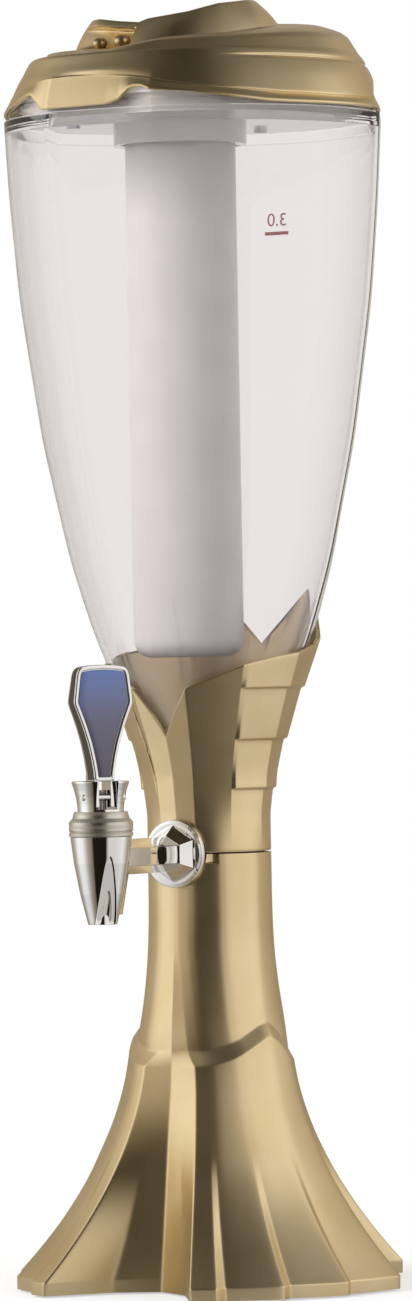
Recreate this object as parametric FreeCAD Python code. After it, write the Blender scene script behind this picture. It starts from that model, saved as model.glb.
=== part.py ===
"""Table-top drink tower: lobed foot, collar, clear tank with an ice tube, swirl lid and lever tap.

Millimetres, +Z up.  The origin is on the tower's axis at table level.  The tap points along -Y.
Azimuths are in degrees, counted from the tap's direction, positive anticlockwise seen from above.
"""
import FreeCAD, Part
import math
import os

from FreeCAD import Vector

# ---------------------------------------------------------------- driving dimensions
# heights on the tower's axis
RIM_Z = 0.8                 # the foot's rim, clear of the table
BAND_TOP_Z = 6.5            # top of the plain band round the rim
FLUTE_TOP_Z = 62.0          # where the flutes fade out
STEP_Z_FOLD = 107.0         # top of the shoulder step beside a fold
STEP_Z_LOBE = 119.0         # top of the shoulder step at a lobe's middle
STEP_HEIGHT = 9.0
FOLD_TOP_Z = 143.0          # apex of the folds
STRAIGHT_Z = 181.0          # the column is straight from here to above the tap
PARTING_Z = 195.0           # foot and collar meet here, at the tap's height
TANK_BOTTOM_Z = 172.0
TANK_NECK_TOP_Z = 212.0
TANK_REBATE_Z = 524.0       # the lid's skirt goes over the rebate above this
TANK_TOP_Z = 531.0
LID_TOP_Z = 577.0

# foot
RIM_R = 92.0                # lobe corners
COLUMN_R = 27.8             # round column at the parting line
FLARE_R = 37.0              # flare's radius under the shoulder step
SHOULDER_R = 33.6           # column's radius above the shoulder step
FOOT_WALL = 3.2
INNER_FLUTE = 5.0           # the shell's inside lies this far behind the flutes' crests, at the rim
FLUTE_STEP_ANGLE = 8.0        # degrees; anything wider is a curved flute and not a step
RIM_FOLD_ANGLE = 24.5        # half-angle of a fold at the rim
STEP_FOLD_ANGLE = 20.0       # and under the shoulder step
SHOULDER_FOLD_ANGLE = 14.0   # and above it
APEX_FOLD_ANGLE = 4.0
RIM_CREASE_R = 46.0         # depth of a fold's centre crease at the rim
STEP_CREASE_R = 34.4
RIM_BEND_DEPTH = 7.7        # how far a fold's side walls are bowed in at the rim
SHELF_THICK, SHELF_HOLE_R = 3.0, 8.0
BOSS_R = 4.5
BOSS_PLACE_R = 60.0
BOSS_REACH_Z = 70.0         # the bosses run up to here or to the shell, whichever is lower
PILOT_TOP_Z = 17.0

# underside
COVER_Z = 2.0
COVER_THICK = 3.0
COVER_GAP = 0.3
PAD_OUT_R, PAD_IN_R = 40.0, 32.0
PAD_GROOVE = 1.0
BALLAST_R, BALLAST_THICK, BALLAST_HOLE_R = 36.5, 16.0, 6.0
SCREW_R, SCREW_HEAD_R, SCREW_HEAD_H, SCREW_LEN = 1.5, 3.0, 1.6, 12.0
RECESS, RECESS_DEPTH = (3.2, 0.7), 0.8
PILOT_GAP = 0.05
SEAT_THICK = 3.0            # soft washer under the tank

# tank: outer radius of the round parts at each height, from the closed neck to the mouth
NECK_R = 22.4
MOUTH_R = 86.8
TANK_WALL = 2.5
TANK_STATIONS = ((TANK_BOTTOM_Z, NECK_R), (TANK_NECK_TOP_Z, NECK_R), (228.0, 26.6), (245.0, 31.5),
                 (270.0, 40.5), (291.0, 49.4), (326.0, 60.2), (380.0, 71.8), (443.0, 81.0),
                 (490.0, 85.0), (TANK_REBATE_Z, MOUTH_R))
REBATE_DEPTH = 3.2
FACET_ANGLE = 18.0           # three flat facets, at 0 and +-120 degrees
FACET_START_Z = 245.0       # the neck is round below, the facets are full above the next value
FACET_FULL_Z = 353.0

# collar
COLLAR_GAP = 0.6
COLLAR_WALL = 2.2
COLLAR_TAPER = 0.12
BAND_PROUD = 1.8            # each stepped band stands proud by this at its lower edge
BAND_LINES_Z = (223.0, 245.0, 268.0)
BAND_EDGE_H = 0.9
FRONT_CREASE_ANGLE = 19.0
BAND_START_ANGLE = 53.0
NOTCH_Z, NOTCH_ARM_Z = 247.5, 269.0
RIM_POINTS = ((0.0, NOTCH_Z), (FRONT_CREASE_ANGLE, NOTCH_ARM_Z), (36.0, 274.0), (BAND_START_ANGLE, 279.0),
              (76.0, 282.5), (99.0, 285.0), (121.0, 288.0), (137.0, 299.0), (153.0, 312.0), (180.0, 288.0))
RIM_SHARES = {"upper": 0.5, "rim": 1.0}     # lines between the last band line and the rim
SLEEVE_REACH, SLEEVE_WALL, SLEEVE_GAP = 12.0, 1.6, 0.2

# ice tube, hung from the lid's liner, nearer the tap than the tower's axis
ICE_Y = -14.0
ICE_R, ICE_WALL = 24.5, 2.0
ICE_BOTTOM_Z = 283.0
ICE_CORNER = 8.0
GASKET_THICK = 1.8
LUG_ANGLE, LEDGE_ANGLE = 40.0, 80.0
LUG_REACH, LUG_THICK = 2.6, 3.0
LEDGE_GAP = 0.1
SOCKET_WALL, SOCKET_DEPTH = 2.2, 11.0
RUN_GAP = 0.3
LINER_DROP = 8.0            # the liner's plate hangs this far below the tank's top
ICE_GASKET_TOP_Z = TANK_TOP_Z - LINER_DROP
ICE_TOP_Z = ICE_GASKET_TOP_Z - GASKET_THICK
LUG_LOW_Z = ICE_TOP_Z - 4.0

# lid
SKIRT_WALL = 2.4
LEVEL_DROP = 0.2            # share of the wall by which the skirt's inner shoulder lies lower
LINER_THICK = 2.5
FLANGE_BACK = 0.8           # how far the liner's flange stays inside the tank's rim
SEAL_THICK, SEAL_H, SEAL_UP = 1.4, 3.0, 2.0
LID_SCREW_PLACE_R = 55.0
TAB_LOW_Z, NOTCH_HIGH_Z, SKIRT_LOW_Z = 525.6, 531.0, 527.6
SHOULDER_Z, FLANK_Z, EDGE_Z, RIDGE_Z = 533.5, 542.0, 551.5, 558.0
SHOULDER_LID_R, FLANK_R, EDGE_R, RIDGE_R = 86.2, 81.2, 75.0, 67.5
SWIRL_ANGLE = 122.0            # the swirl is highest and tightest towards this azimuth
SWIRL_BASE_R, SWIRL_BASE_Z = 45.0, 562.0
SWIRL_CREST_R, SWIRL_CREST_Z = 36.0, 572.8
SWIRL_SHIFT = 9.0           # the swirl's outlines lie this far off the axis
SWIRL_RISE, RIDGE_RISE = 4.2, 3.0
LID_CENTRE_Z = 572.0
LID_BOSS_R = 4.5

# tap, on its own upright axis in front of the column
TAP_Y = -89.5
BODY_TOP_Z, SPOUT_Z = 204.6, 166.0
BODY_TOP_R, SPOUT_R = 13.6, 6.4
BODY_SLOPE_Z = 193.0        # the body is nearly straight above this and tapers below
BODY_SLOPE_R = 12.2
WEB_WIDTH, WEB_REACH, WEB_LOW_REACH, WEB_LOW_Z = 9.0, 19.5, 12.5, 170.0
ARCH_HALF, ARCH_LOW_Z, ARCH_TIP_Z, ARCH_DEPTH = 4.2, 150.0, 196.0, 0.9
CHAMBER_R, OUTLET_R, INLET_R = 5.5, 4.5, 4.0
SEAT_Z = 182.0
COLLET_R, COLLET_TOP_Z = 12.3, 209.0
SHANK_R, THREAD_R = 7.9, 6.0       # the shank is six-sided in front of the flange, corners up and down
HEX_END_GAP = 0.5
THREAD_GAP = 0.3
HUB_R, FLANGE_R, FLANGE_RIM, FLANGE_LEN = 12.4, 15.3, 2.0, 8.4
FLANGE_BACK_Y = -28.4
GASKET_R = 13.6
WASHER_R, WASHER_THICK = 9.0, 1.0
NUT_ACROSS, NUT_THICK = 17.0, 5.0
INNER_SEAT_Y = -16.2        # flat back of the inner gasket, where the washer bears
RING_R, RING_TOP_R, RING_BOTTOM_Z, RING_TOP_Z = 14.1, 11.8, 204.8, 215.6
GROOVE, NUT_GAP, LIP_GAP = 0.5, 0.15, 0.4
CROWN_FLANGE_H, CROWN_GAP = 2.2, 0.1
CROWN_NECK_R, CROWN_TOP_R, CROWN_TOP_Z = 10.2, 12.7, 229.0
FIT = 0.05                  # radial clearance of running fits
SLOT_WIDTH, SLOT_FLOOR_Z = 9.6, 216.6
LEVER_TURN_ANGLE = 50.0           # azimuth that the lever faces
PIVOT_AHEAD, PIVOT_Z, PIVOT_R = 5.0, 222.0, 1.5
LEVER_FOOT_W, LEVER_FOOT_D = 9.0, 14.0
LEVER_TILT_ANGLE = 35.0
LEVER_OUTLINE = ((4.6, 229.0), (4.7, 232.5), (5.8, 239.0), (7.4, 246.0), (9.9, 254.0), (13.5, 263.5),
                 (11.3, 280.0))         # half width and height up the handle
LEVER_FOOT_Z = 217.5
LEVER_TOP_D, LEVER_BELLY_D = 9.0, 12.0
LEVER_WAIST_Z, LEVER_BELLY_Z, LEVER_SPAN = 234.0, 258.0, 20.0
CLEVIS_TOP_Z = 226.8
BADGE_INSET, BADGE_THICK = 1.9, 0.8
CLEVIS_GAP = 5.4
STEM_R, STEM_TOP_Z = 2.4, 225.0
STEM_TIP_R, STEM_TIP_LEN = 1.6, 3.0     # the stem's tip, held in the stopper
PLUG_R, PLUG_H = 5.0, 4.0
PIN_R, PIN_LEN = 1.2, 8.6
STEM_COLLAR_R, STEM_COLLAR_H = 4.6, 2.0
SEAL_Z, SEAL_RING_H = 204.0, 2.4
STEM_COLLAR_Z = 188.0
SEAT_GAP = 0.15
SPRING_WIRE, SPRING_R, SPRING_TURNS = 0.45, 3.7, 5


# ---------------------------------------------------------------- shared geometry
def at(radius, azimuth, z):
    """The point at this radius and azimuth about the tower's axis."""
    turn = math.radians(azimuth)
    return Vector(radius * math.sin(turn), -radius * math.cos(turn), z)


def disc(radius, low, high, x=0.0, y=0.0):
    return Part.makeCylinder(radius, high - low, Vector(x, y, low))


def tube(outer, inner, low, high, x=0.0, y=0.0):
    return disc(outer, low, high, x, y).cut(disc(inner, low - 1, high + 1, x, y))


def along_y(radius, near, far, z, x=0.0):
    """A cylinder whose axis runs along Y from near to far."""
    return Part.makeCylinder(radius, far - near, Vector(x, near, z), Vector(0, 1, 0))


def turned(profile, x=0.0, y=0.0):
    """A solid of revolution about the upright line through (x, y); the profile is (radius, z) points."""
    points = [Vector(r, 0, z) for r, z in profile]
    face = Part.Face(Part.makePolygon(points + points[:1]))
    solid = face.revolve(Vector(0, 0, 0), Vector(0, 0, 1), 360)
    solid.translate(Vector(x, y, 0))
    return solid


def step_between(low, high, value):
    """0 below low, 1 above high, straight between."""
    return min(1.0, max(0.0, (value - low) / (high - low)))


def from_table(points, value):
    """Straight-line reading of a curve that is given as (place, size) points."""
    for (a, size_a), (b, size_b) in zip(points, points[1:]):
        if value <= b:
            return size_a + (size_b - size_a) * step_between(a, b, value)
    return points[-1][1]


def edges_round(ring):
    """Edges that join a closed ring of (point, arc middle or None); the middle belongs to the edge after."""
    edges = []
    for (start, middle), (end, _) in zip(ring, ring[1:] + ring[:1]):
        edges.append(Part.Arc(start, middle, end).toShape() if middle else Part.makeLine(start, end))
    return edges


def skin(rings):
    """Ruled faces between each ring of edges and the next."""
    faces = []
    for lower, upper in zip(rings, rings[1:]):
        faces += [Part.makeRuledSurface(a, b) for a, b in zip(lower, upper)]
    return faces


def closed_solid(faces):
    shell = Part.makeShell([part for face in faces for part in face.Faces])
    shell.sewShape()
    solid = Part.makeSolid(shell)
    if solid.Volume < 0:
        solid.reverse()
    return solid


def hollow_solid(outer, inner):
    """A wall between two stacks of rings that is open at both ends."""
    return closed_solid(skin(outer) + skin(inner) + skin([outer[0], inner[0]]) + skin([outer[-1], inner[-1]]))


# ---------------------------------------------------------------- foot
LOBE_SIDE = ((0.0, 0.0), (0.106, 0.0), (0.142, 5.5), (0.373, 1.5), (0.415, 6.5), (0.662, 1.0),
             (0.70, 5.0), (1.0, 0.0))      # along a side lobe: share of its width, depth at the rim
LOBE_BACK = ((0.0, 0.0), (0.106, 0.0), (0.142, 5.5), (0.387, 1.5), (0.613, 1.5), (0.858, 5.5),
             (0.894, 0.0), (1.0, 0.0))
FOLD_PLACES = (0.0, 120.0, 240.0)


def foot_radius(z, above_step):
    if above_step:
        rise = 1 - step_between(STEP_Z_LOBE - STEP_HEIGHT, STRAIGHT_Z, z)
        return COLUMN_R + (SHOULDER_R - COLUMN_R) * rise ** 2.5
    spread = (RIM_R - FLARE_R) / (1 - BAND_TOP_Z / STEP_Z_LOBE) ** 2
    return FLARE_R + spread * (1 - max(z, BAND_TOP_Z) / STEP_Z_LOBE) ** 2


def fold_half(level, z):
    if level == "under":
        return RIM_FOLD_ANGLE + (STEP_FOLD_ANGLE - RIM_FOLD_ANGLE) * step_between(RIM_Z, STEP_Z_FOLD, z)
    if level == "over":
        return SHOULDER_FOLD_ANGLE
    return APEX_FOLD_ANGLE


def crease_radius(level, z, inset):
    if level == "under":
        return RIM_CREASE_R + (STEP_CREASE_R - RIM_CREASE_R) * step_between(RIM_Z, STEP_Z_FOLD, z) - inset
    if level == "over":
        return STEP_CREASE_R - 1.2 - inset
    return foot_radius(z, True) * math.cos(math.radians(APEX_FOLD_ANGLE)) - inset


def lobe_points(fold, inset):
    """(share of the lobe's width, flute depth) along the lobe that follows this fold; plain if inset."""
    lobe = LOBE_BACK if fold == 120.0 else LOBE_SIDE
    if fold == 240.0:
        lobe = tuple((1 - share, depth) for share, depth in reversed(LOBE_SIDE))
    return tuple((share, 0.0 if inset else depth) for share, depth in lobe)


def foot_ring(level, z, inset=0.0):
    """One closed ring of the foot: three folds and three lobes.

    Under the shoulder the ring is level; at the shoulder's two edges it climbs towards each lobe's middle.
    An inset ring has no flutes and lies behind them.
    """
    half = fold_half(level, z)
    depth_left = (1 - step_between(BAND_TOP_Z, FLUTE_TOP_Z, z)) ** 1.2
    behind = inset + (INNER_FLUTE * depth_left if inset else 0.0)
    at_step = level == "over" or (level == "under" and z >= STEP_Z_FOLD - STEP_HEIGHT)
    climb = STEP_Z_LOBE - STEP_Z_FOLD if at_step else 0.0
    ring = []
    for fold in FOLD_PLACES:
        radius = foot_radius(z, level != "under") - behind
        pull = math.degrees(inset / radius)
        centre = at(crease_radius(level, z, inset), fold, z)
        bow = at(RIM_BEND_DEPTH * depth_left, fold, 0)
        edges = [at(radius, fold + side * (half + pull), z) for side in (-1, 1)]
        bends = [(edge + centre) * 0.5 - bow for edge in edges]
        ring += [(bends[0], None), (centre, None), (bends[1], None)]
        start, width = fold + half + pull, 120.0 - 2 * (half + pull)

        def place(share, depth):
            lift = climb * math.sin(math.pi * share)
            lobe_radius = foot_radius(z + lift, level != "under") - behind - depth * depth_left
            return at(lobe_radius, start + width * share, z + lift)

        lobe = lobe_points(fold, inset)
        for (share, depth), (next_share, next_depth) in zip(lobe, lobe[1:]):
            wide = (next_share - share) * width > FLUTE_STEP_ANGLE
            middle = place((share + next_share) / 2, (depth + next_depth) / 2) if wide else None
            ring.append((place(share, depth), middle))
        ring.append((place(1.0, 0.0), None))
    return edges_round(ring)


FOOT_LEVELS = [("under", z) for z in (RIM_Z, BAND_TOP_Z, 15.0, 27.0, 42.0, FLUTE_TOP_Z, 80.0)]
FOOT_LEVELS += [("under", STEP_Z_FOLD - STEP_HEIGHT), ("over", STEP_Z_FOLD)]
FOOT_LEVELS += [("column", z) for z in (FOLD_TOP_Z, 160.0, STRAIGHT_Z, PARTING_Z)]


def shank_hole(radius):
    """The tap's way through the column's front."""
    return along_y(radius, -COLUMN_R - 8, -NECK_R / 2, PARTING_Z)


def foot_core(inset, past_ends=0.0):
    """The solid inside the foot's surface, or this far inside it and longer at both ends."""
    heights = [z for _, z in FOOT_LEVELS]
    heights[0] -= past_ends
    heights[-1] += past_ends
    rings = [foot_ring(level, z, inset) for (level, _), z in zip(FOOT_LEVELS, heights)]
    return closed_solid(skin(rings) + [Part.Face(Part.Wire(rings[0])), Part.Face(Part.Wire(rings[-1]))])


def foot_shell():
    shell = foot_core(0.0).cut(foot_core(FOOT_WALL, 1.0))
    shelf_top = TANK_BOTTOM_Z - SEAT_THICK
    shell = shell.fuse(tube(COLUMN_R - FOOT_WALL / 2, SHELF_HOLE_R, shelf_top - SHELF_THICK, shelf_top))
    core = foot_core(FOOT_WALL / 2)
    for place in cover_screw_places():
        boss = disc(BOSS_R, COVER_Z + COVER_THICK, BOSS_REACH_Z, place.x, place.y).common(core)
        pilot = disc(SCREW_R + PILOT_GAP, 0, PILOT_TOP_Z, place.x, place.y)
        shell = shell.fuse(boss).cut(pilot)
    return shell.cut(shank_hole(THREAD_R + THREAD_GAP))


def cover_screw_places():
    return [at(BOSS_PLACE_R, fold + 60.0, 0) for fold in FOLD_PLACES]


# ---------------------------------------------------------------- underside
def bottom_cover():
    rings = [foot_ring("under", z, FOOT_WALL + COVER_GAP) for z in (COVER_Z, COVER_Z + COVER_THICK)]
    faces = skin(rings) + [Part.Face(Part.Wire(ring)) for ring in rings]
    plate = closed_solid(faces)
    plate = plate.cut(tube(PAD_OUT_R + 0.1, PAD_IN_R - 0.1, COVER_Z - 1, COVER_Z + PAD_GROOVE))
    for place in cover_screw_places():
        head_top = COVER_Z + SCREW_HEAD_H
        plate = plate.cut(disc(SCREW_HEAD_R + 0.3, COVER_Z - 1, head_top, place.x, place.y))
        plate = plate.cut(disc(SCREW_R + 0.2, COVER_Z, COVER_Z + COVER_THICK + 1, place.x, place.y))
    return plate


def screw(x, y, head_low):
    """A pan-head screw with a cross recess; the head is at the low end."""
    head_top = head_low + SCREW_HEAD_H
    body = disc(SCREW_HEAD_R, head_low, head_top, x, y)
    body = body.fuse(disc(SCREW_R, head_top, head_top + SCREW_LEN, x, y))
    for length, width in (RECESS, RECESS[::-1]):
        corner = Vector(x - length / 2, y - width / 2, head_low)
        body = body.cut(Part.makeBox(length, width, RECESS_DEPTH, corner))
    return body.removeSplitter()


def cover_screws():
    return Part.makeCompound([screw(p.x, p.y, COVER_Z) for p in cover_screw_places()])


def rubber_foot_ring():
    return tube(PAD_OUT_R, PAD_IN_R, 0.0, COVER_Z + PAD_GROOVE)


def ballast_disc():
    low = COVER_Z + COVER_THICK
    return tube(BALLAST_R, BALLAST_HOLE_R, low, low + BALLAST_THICK)


# ---------------------------------------------------------------- tank and its seat
def tank_radius(z):
    return from_table(TANK_STATIONS, z)


def faceted_ring(radius, z, flatness=1.0):
    """Three arcs about the axis, joined by three facets; flatness 0 makes the ring round."""
    ring = []
    facet_middle = radius * (1 - 0.98 * flatness * (1 - math.cos(math.radians(FACET_ANGLE))))
    for fold in FOLD_PLACES:
        ring.append((at(radius, fold - FACET_ANGLE, z), at(facet_middle, fold, z)))
        ring.append((at(radius, fold + FACET_ANGLE, z), at(radius, fold + 60.0, z)))
    return edges_round(ring)


def tank_flatness(z):
    return step_between(FACET_START_Z, FACET_FULL_Z, z)


def faceted_solid(stations, inset=0.0):
    rings = [faceted_ring(r - inset, z, tank_flatness(z)) for z, r in stations]
    return closed_solid(skin(rings) + [Part.Face(Part.Wire(rings[0])), Part.Face(Part.Wire(rings[-1]))])


def tank():
    rebate = (TANK_REBATE_Z + 0.6, MOUTH_R - REBATE_DEPTH)
    outer = faceted_solid(TANK_STATIONS + (rebate, (TANK_TOP_Z, rebate[1])))
    floor = (TANK_BOTTOM_Z + TANK_WALL + 0.5, NECK_R)
    mouth = ((TANK_REBATE_Z - 6.0, MOUTH_R - 0.3), (TANK_REBATE_Z, rebate[1]), (TANK_TOP_Z + 1.0, rebate[1]))
    inner = faceted_solid((floor,) + TANK_STATIONS[1:-1] + mouth, TANK_WALL)
    return outer.cut(inner).cut(shank_hole(THREAD_R + THREAD_GAP))


def tank_seat():
    return tube(NECK_R, SHELF_HOLE_R, TANK_BOTTOM_Z - SEAT_THICK, TANK_BOTTOM_Z)


# ---------------------------------------------------------------- collar
def rim_height(azimuth):
    return from_table(RIM_POINTS, abs(azimuth))


def collar_radius(z):
    """The collar's plain outer surface: the column below, and the tank plus a gap and a wall above."""
    over_tank = tank_radius(z) + COLLAR_GAP + COLLAR_WALL
    return max(over_tank, COLUMN_R + COLLAR_TAPER * max(0.0, z - TANK_NECK_TOP_Z))


def collar_height(line, azimuth):
    """A line's height here: lines up to the last band line dip under a low rim, the rest follow the rim."""
    rim = rim_height(azimuth)
    if line in RIM_SHARES:
        last = collar_height(BAND_LINES_Z[-1], azimuth)
        return last + (rim - last) * RIM_SHARES[line]
    dip = (line - PARTING_Z) / (RIM_POINTS[3][1] - PARTING_Z)
    return min(line, PARTING_Z + dip * (rim - PARTING_Z))


def collar_ring(line, proud, inset=0.0):
    """One ring of the collar on this line; a band's ring stands proud beyond the front."""
    azimuths = [-point[0] for point in RIM_POINTS[:0:-1]] + [point[0] for point in RIM_POINTS]

    def place(azimuth):
        z = collar_height(line, azimuth) + BAND_EDGE_H * proud
        banded = BAND_PROUD * proud if abs(azimuth) >= BAND_START_ANGLE else 0.0
        return at(collar_radius(z) + banded - inset, azimuth, z)

    ring = []
    for azimuth, following in zip(azimuths, azimuths[1:]):
        flat = abs(azimuth + following) < 2 * FRONT_CREASE_ANGLE
        ring.append((place(azimuth), None if flat else place((azimuth + following) / 2)))
    return edges_round(ring)


def collar_shell():
    plain = (PARTING_Z, TANK_NECK_TOP_Z)
    banded = [(line, proud) for line in BAND_LINES_Z for proud in (0.0, 1.0)]
    levels = [(line, 0.0) for line in plain] + banded + [(line, 0.0) for line in RIM_SHARES]
    outer = [collar_ring(line, proud) for line, proud in levels]
    inner = [collar_ring(line, 0.0, COLLAR_WALL) for line, proud in levels if proud == 0.0]
    shell = hollow_solid(outer, inner)
    return shell.cut(shank_hole(THREAD_R + THREAD_GAP))


def coupling_sleeve():
    outer = COLUMN_R - FOOT_WALL - SLEEVE_GAP
    ring = tube(outer, outer - SLEEVE_WALL, PARTING_Z - SLEEVE_REACH, PARTING_Z + SLEEVE_REACH)
    return ring.cut(shank_hole(THREAD_R + THREAD_GAP))


# ---------------------------------------------------------------- ice tube
def sector(outer, inner, low, high, middle, arc):
    """A piece of a ring about the ice tube's axis, this many degrees wide."""
    face = Part.Face(Part.makePolygon([Vector(inner, 0, low), Vector(outer, 0, low), Vector(outer, 0, high),
                                       Vector(inner, 0, high), Vector(inner, 0, low)]))
    piece = face.revolve(Vector(0, 0, 0), Vector(0, 0, 1), arc)
    piece.rotate(Vector(0, 0, 0), Vector(0, 0, 1), middle - arc / 2)
    piece.translate(Vector(0, ICE_Y, 0))
    return piece


def ice_tube():
    outside = disc(ICE_R, ICE_BOTTOM_Z, ICE_TOP_Z, 0, ICE_Y)
    foot_edge = [e for e in outside.Edges if abs(e.BoundBox.ZMax - ICE_BOTTOM_Z) < 0.01]
    outside = outside.makeFillet(ICE_CORNER, foot_edge)
    inside = disc(ICE_R - ICE_WALL, ICE_BOTTOM_Z + ICE_WALL, ICE_TOP_Z + 1, 0, ICE_Y)
    floor_edge = [e for e in inside.Edges if abs(e.BoundBox.ZMax - ICE_BOTTOM_Z - ICE_WALL) < 0.01]
    inside = inside.makeFillet(ICE_CORNER - ICE_WALL, floor_edge)
    body = outside.cut(inside)
    lug_out, lug_in, lug_top = ICE_R + LUG_REACH, ICE_R - ICE_WALL / 2, LUG_LOW_Z + LUG_THICK
    for middle in (0.0, 180.0):
        body = body.fuse(sector(lug_out, lug_in, LUG_LOW_Z, lug_top, middle, LUG_ANGLE))
    return body.removeSplitter()


def ice_tube_gasket():
    return tube(ICE_R, ICE_R - ICE_WALL, ICE_TOP_Z, ICE_GASKET_TOP_Z, 0, ICE_Y)


# ---------------------------------------------------------------- lid
def lid_liner():
    """A flat-bottomed cup in the tank's mouth, with a flange on the tank's rim and a bayonet socket below."""
    rebate_r = MOUTH_R - REBATE_DEPTH
    plate_z = TANK_TOP_Z - LINER_DROP
    fit_r = rebate_r - TANK_WALL - SEAL_THICK - RUN_GAP
    cup = faceted_solid(((plate_z, fit_r), (TANK_TOP_Z + LINER_THICK, fit_r)))
    rim_r = rebate_r - FLANGE_BACK
    cup = cup.fuse(faceted_solid(((TANK_TOP_Z, rim_r), (TANK_TOP_Z + LINER_THICK, rim_r))))
    hollow_r = fit_r - LINER_THICK
    floor_z, top_z = plate_z + LINER_THICK, TANK_TOP_Z + LINER_THICK
    cup = cup.cut(faceted_solid(((floor_z, hollow_r), (top_z + 1, hollow_r))))
    socket_in = ICE_R + LUG_REACH + RUN_GAP
    socket_low = plate_z - SOCKET_DEPTH
    cup = cup.fuse(tube(socket_in + SOCKET_WALL, socket_in, socket_low, plate_z + 0.5, 0, ICE_Y))
    ledge_out, ledge_top = socket_in + SOCKET_WALL / 2, LUG_LOW_Z - LEDGE_GAP
    for middle in (0.0, 180.0):
        cup = cup.fuse(sector(ledge_out, ICE_R + RUN_GAP, socket_low, ledge_top, middle, LEDGE_ANGLE))
    for place in lid_screw_places():
        cup = cup.cut(disc(SCREW_R + 0.2, plate_z - 1, plate_z + LINER_THICK + 1, place.x, place.y))
    return cup.removeSplitter()


def lid_screw_places():
    return [at(LID_SCREW_PLACE_R, fold + 60.0, 0) for fold in FOLD_PLACES]


def lid_screws():
    head_low = TANK_TOP_Z - LINER_DROP - SCREW_HEAD_H
    return Part.makeCompound([screw(p.x, p.y, head_low) for p in lid_screw_places()])


def lid_seal():
    low = TANK_TOP_Z - LINER_DROP + SEAL_UP
    radius = MOUTH_R - REBATE_DEPTH - TANK_WALL - SEAL_THICK - RUN_GAP
    outside = faceted_solid(((low, radius + SEAL_THICK), (low + SEAL_H, radius + SEAL_THICK)))
    return outside.cut(faceted_solid(((low - 1, radius), (low + SEAL_H + 1, radius))))


LID_SAMPLES = (0.0, 6.0, 14.0, FACET_ANGLE, 30.0, 45.0, 60.0, 78.0, 92.0, 96.0, 120.0 - FACET_ANGLE)


def facet_share(azimuth):
    """How far a facet cuts in at this azimuth, as a share of the radius."""
    off = abs((azimuth + 60.0) % 120.0 - 60.0)
    if off >= FACET_ANGLE:
        return 1.0
    return math.cos(math.radians(FACET_ANGLE)) / math.cos(math.radians(off))


def skirt_height(azimuth):
    """The skirt's lower edge: a low tab, a notch and a long slope in each third."""
    edge = ((0.0, TAB_LOW_Z), (6.0, TAB_LOW_Z), (14.0, NOTCH_HIGH_Z), (30.0, SKIRT_LOW_Z + 1.2),
            (45.0, SKIRT_LOW_Z), (92.0, SKIRT_LOW_Z + 1.2), (96.0, TAB_LOW_Z), (120.0, TAB_LOW_Z))
    return from_table(edge, azimuth % 120.0)


def lid_profile(azimuth):
    """(radius, z) down the lid's outside at this azimuth, from the skirt's edge to the swirl's crest."""
    high = math.cos(math.radians(azimuth - SWIRL_ANGLE))
    facet = facet_share(azimuth)
    return ((MOUTH_R * facet, skirt_height(azimuth)),
            (SHOULDER_LID_R * facet, SHOULDER_Z),
            (FLANK_R * facet, FLANK_Z),
            (EDGE_R * (1 + facet) / 2, EDGE_Z),
            (RIDGE_R, RIDGE_Z + RIDGE_RISE * high),
            (SWIRL_BASE_R - SWIRL_SHIFT * high, SWIRL_BASE_Z + SWIRL_RISE * high),
            (SWIRL_CREST_R - SWIRL_SHIFT * high, SWIRL_CREST_Z + SWIRL_RISE * high))


def lid_ring(level, inset):
    """One ring of the lid, straight along the facets and the crest and arched elsewhere."""
    drop = (0.0, LEVEL_DROP * inset)[level] if level < 2 else inset
    crest = level == len(lid_profile(0.0)) - 1

    def place(azimuth):
        radius, z = lid_profile(azimuth)[level]
        return at(radius - inset, azimuth, z - drop)

    azimuths = [third + sample for third in FOLD_PLACES for sample in LID_SAMPLES] + [360.0]
    ring = []
    for azimuth, following in zip(azimuths, azimuths[1:]):
        middle = (azimuth + following) / 2
        straight = crest or facet_share(middle) < 1.0
        ring.append((place(azimuth), None if straight else place(middle)))
    return edges_round(ring)


def lid_cap(ring, centre):
    """Flat triangles from a ring's edges up to a centre point."""
    faces = []
    for edge in ring:
        start, end = edge.Vertexes[0].Point, edge.Vertexes[1].Point
        faces.append(Part.Face(Part.makePolygon([start, end, centre, start])))
    return faces


def lid_shell():
    levels = range(len(lid_profile(0.0)))
    outer = [lid_ring(level, 0.0) for level in levels]
    inner = [lid_ring(level, SKIRT_WALL) for level in levels]
    faces = skin(outer) + skin(inner) + skin([outer[0], inner[0]])
    faces += lid_cap(outer[-1], Vector(0, 0, LID_CENTRE_Z))
    faces += lid_cap(inner[-1], Vector(0, 0, LID_CENTRE_Z - SKIRT_WALL))
    shell = closed_solid(faces)
    boss_low = TANK_TOP_Z - LINER_DROP + LINER_THICK
    for fold, place in zip(FOLD_PLACES, lid_screw_places()):
        profile = [(-r, z) for r, z in lid_profile(fold + 60.0)]
        roof = from_table(profile, -LID_SCREW_PLACE_R - LID_BOSS_R)
        boss = tube(LID_BOSS_R, SCREW_R + PILOT_GAP, boss_low, roof - SKIRT_WALL / 2, place.x, place.y)
        shell = shell.fuse(boss)
    return shell


# ---------------------------------------------------------------- tap
def hex_along_y(corner, near, far, first_angle):
    """A six-sided bar along Y at the tap's height; the angle places its first corner."""
    turns = [math.radians(first_angle + 60 * k) for k in range(6)]
    points = [Vector(corner * math.cos(turn), near, PARTING_Z + corner * math.sin(turn)) for turn in turns]
    return Part.Face(Part.makePolygon(points + points[:1])).extrude(Vector(0, far - near, 0))


def turned_along_y(profile, z):
    """A solid of revolution about the line along Y at height z; the profile is (radius, y) points."""
    points = [Vector(r, y, 0) for r, y in profile]
    face = Part.Face(Part.makePolygon(points + points[:1]))
    solid = face.revolve(Vector(0, 0, 0), Vector(0, 1, 0), 360)
    solid.translate(Vector(0, 0, z))
    return solid


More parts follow.
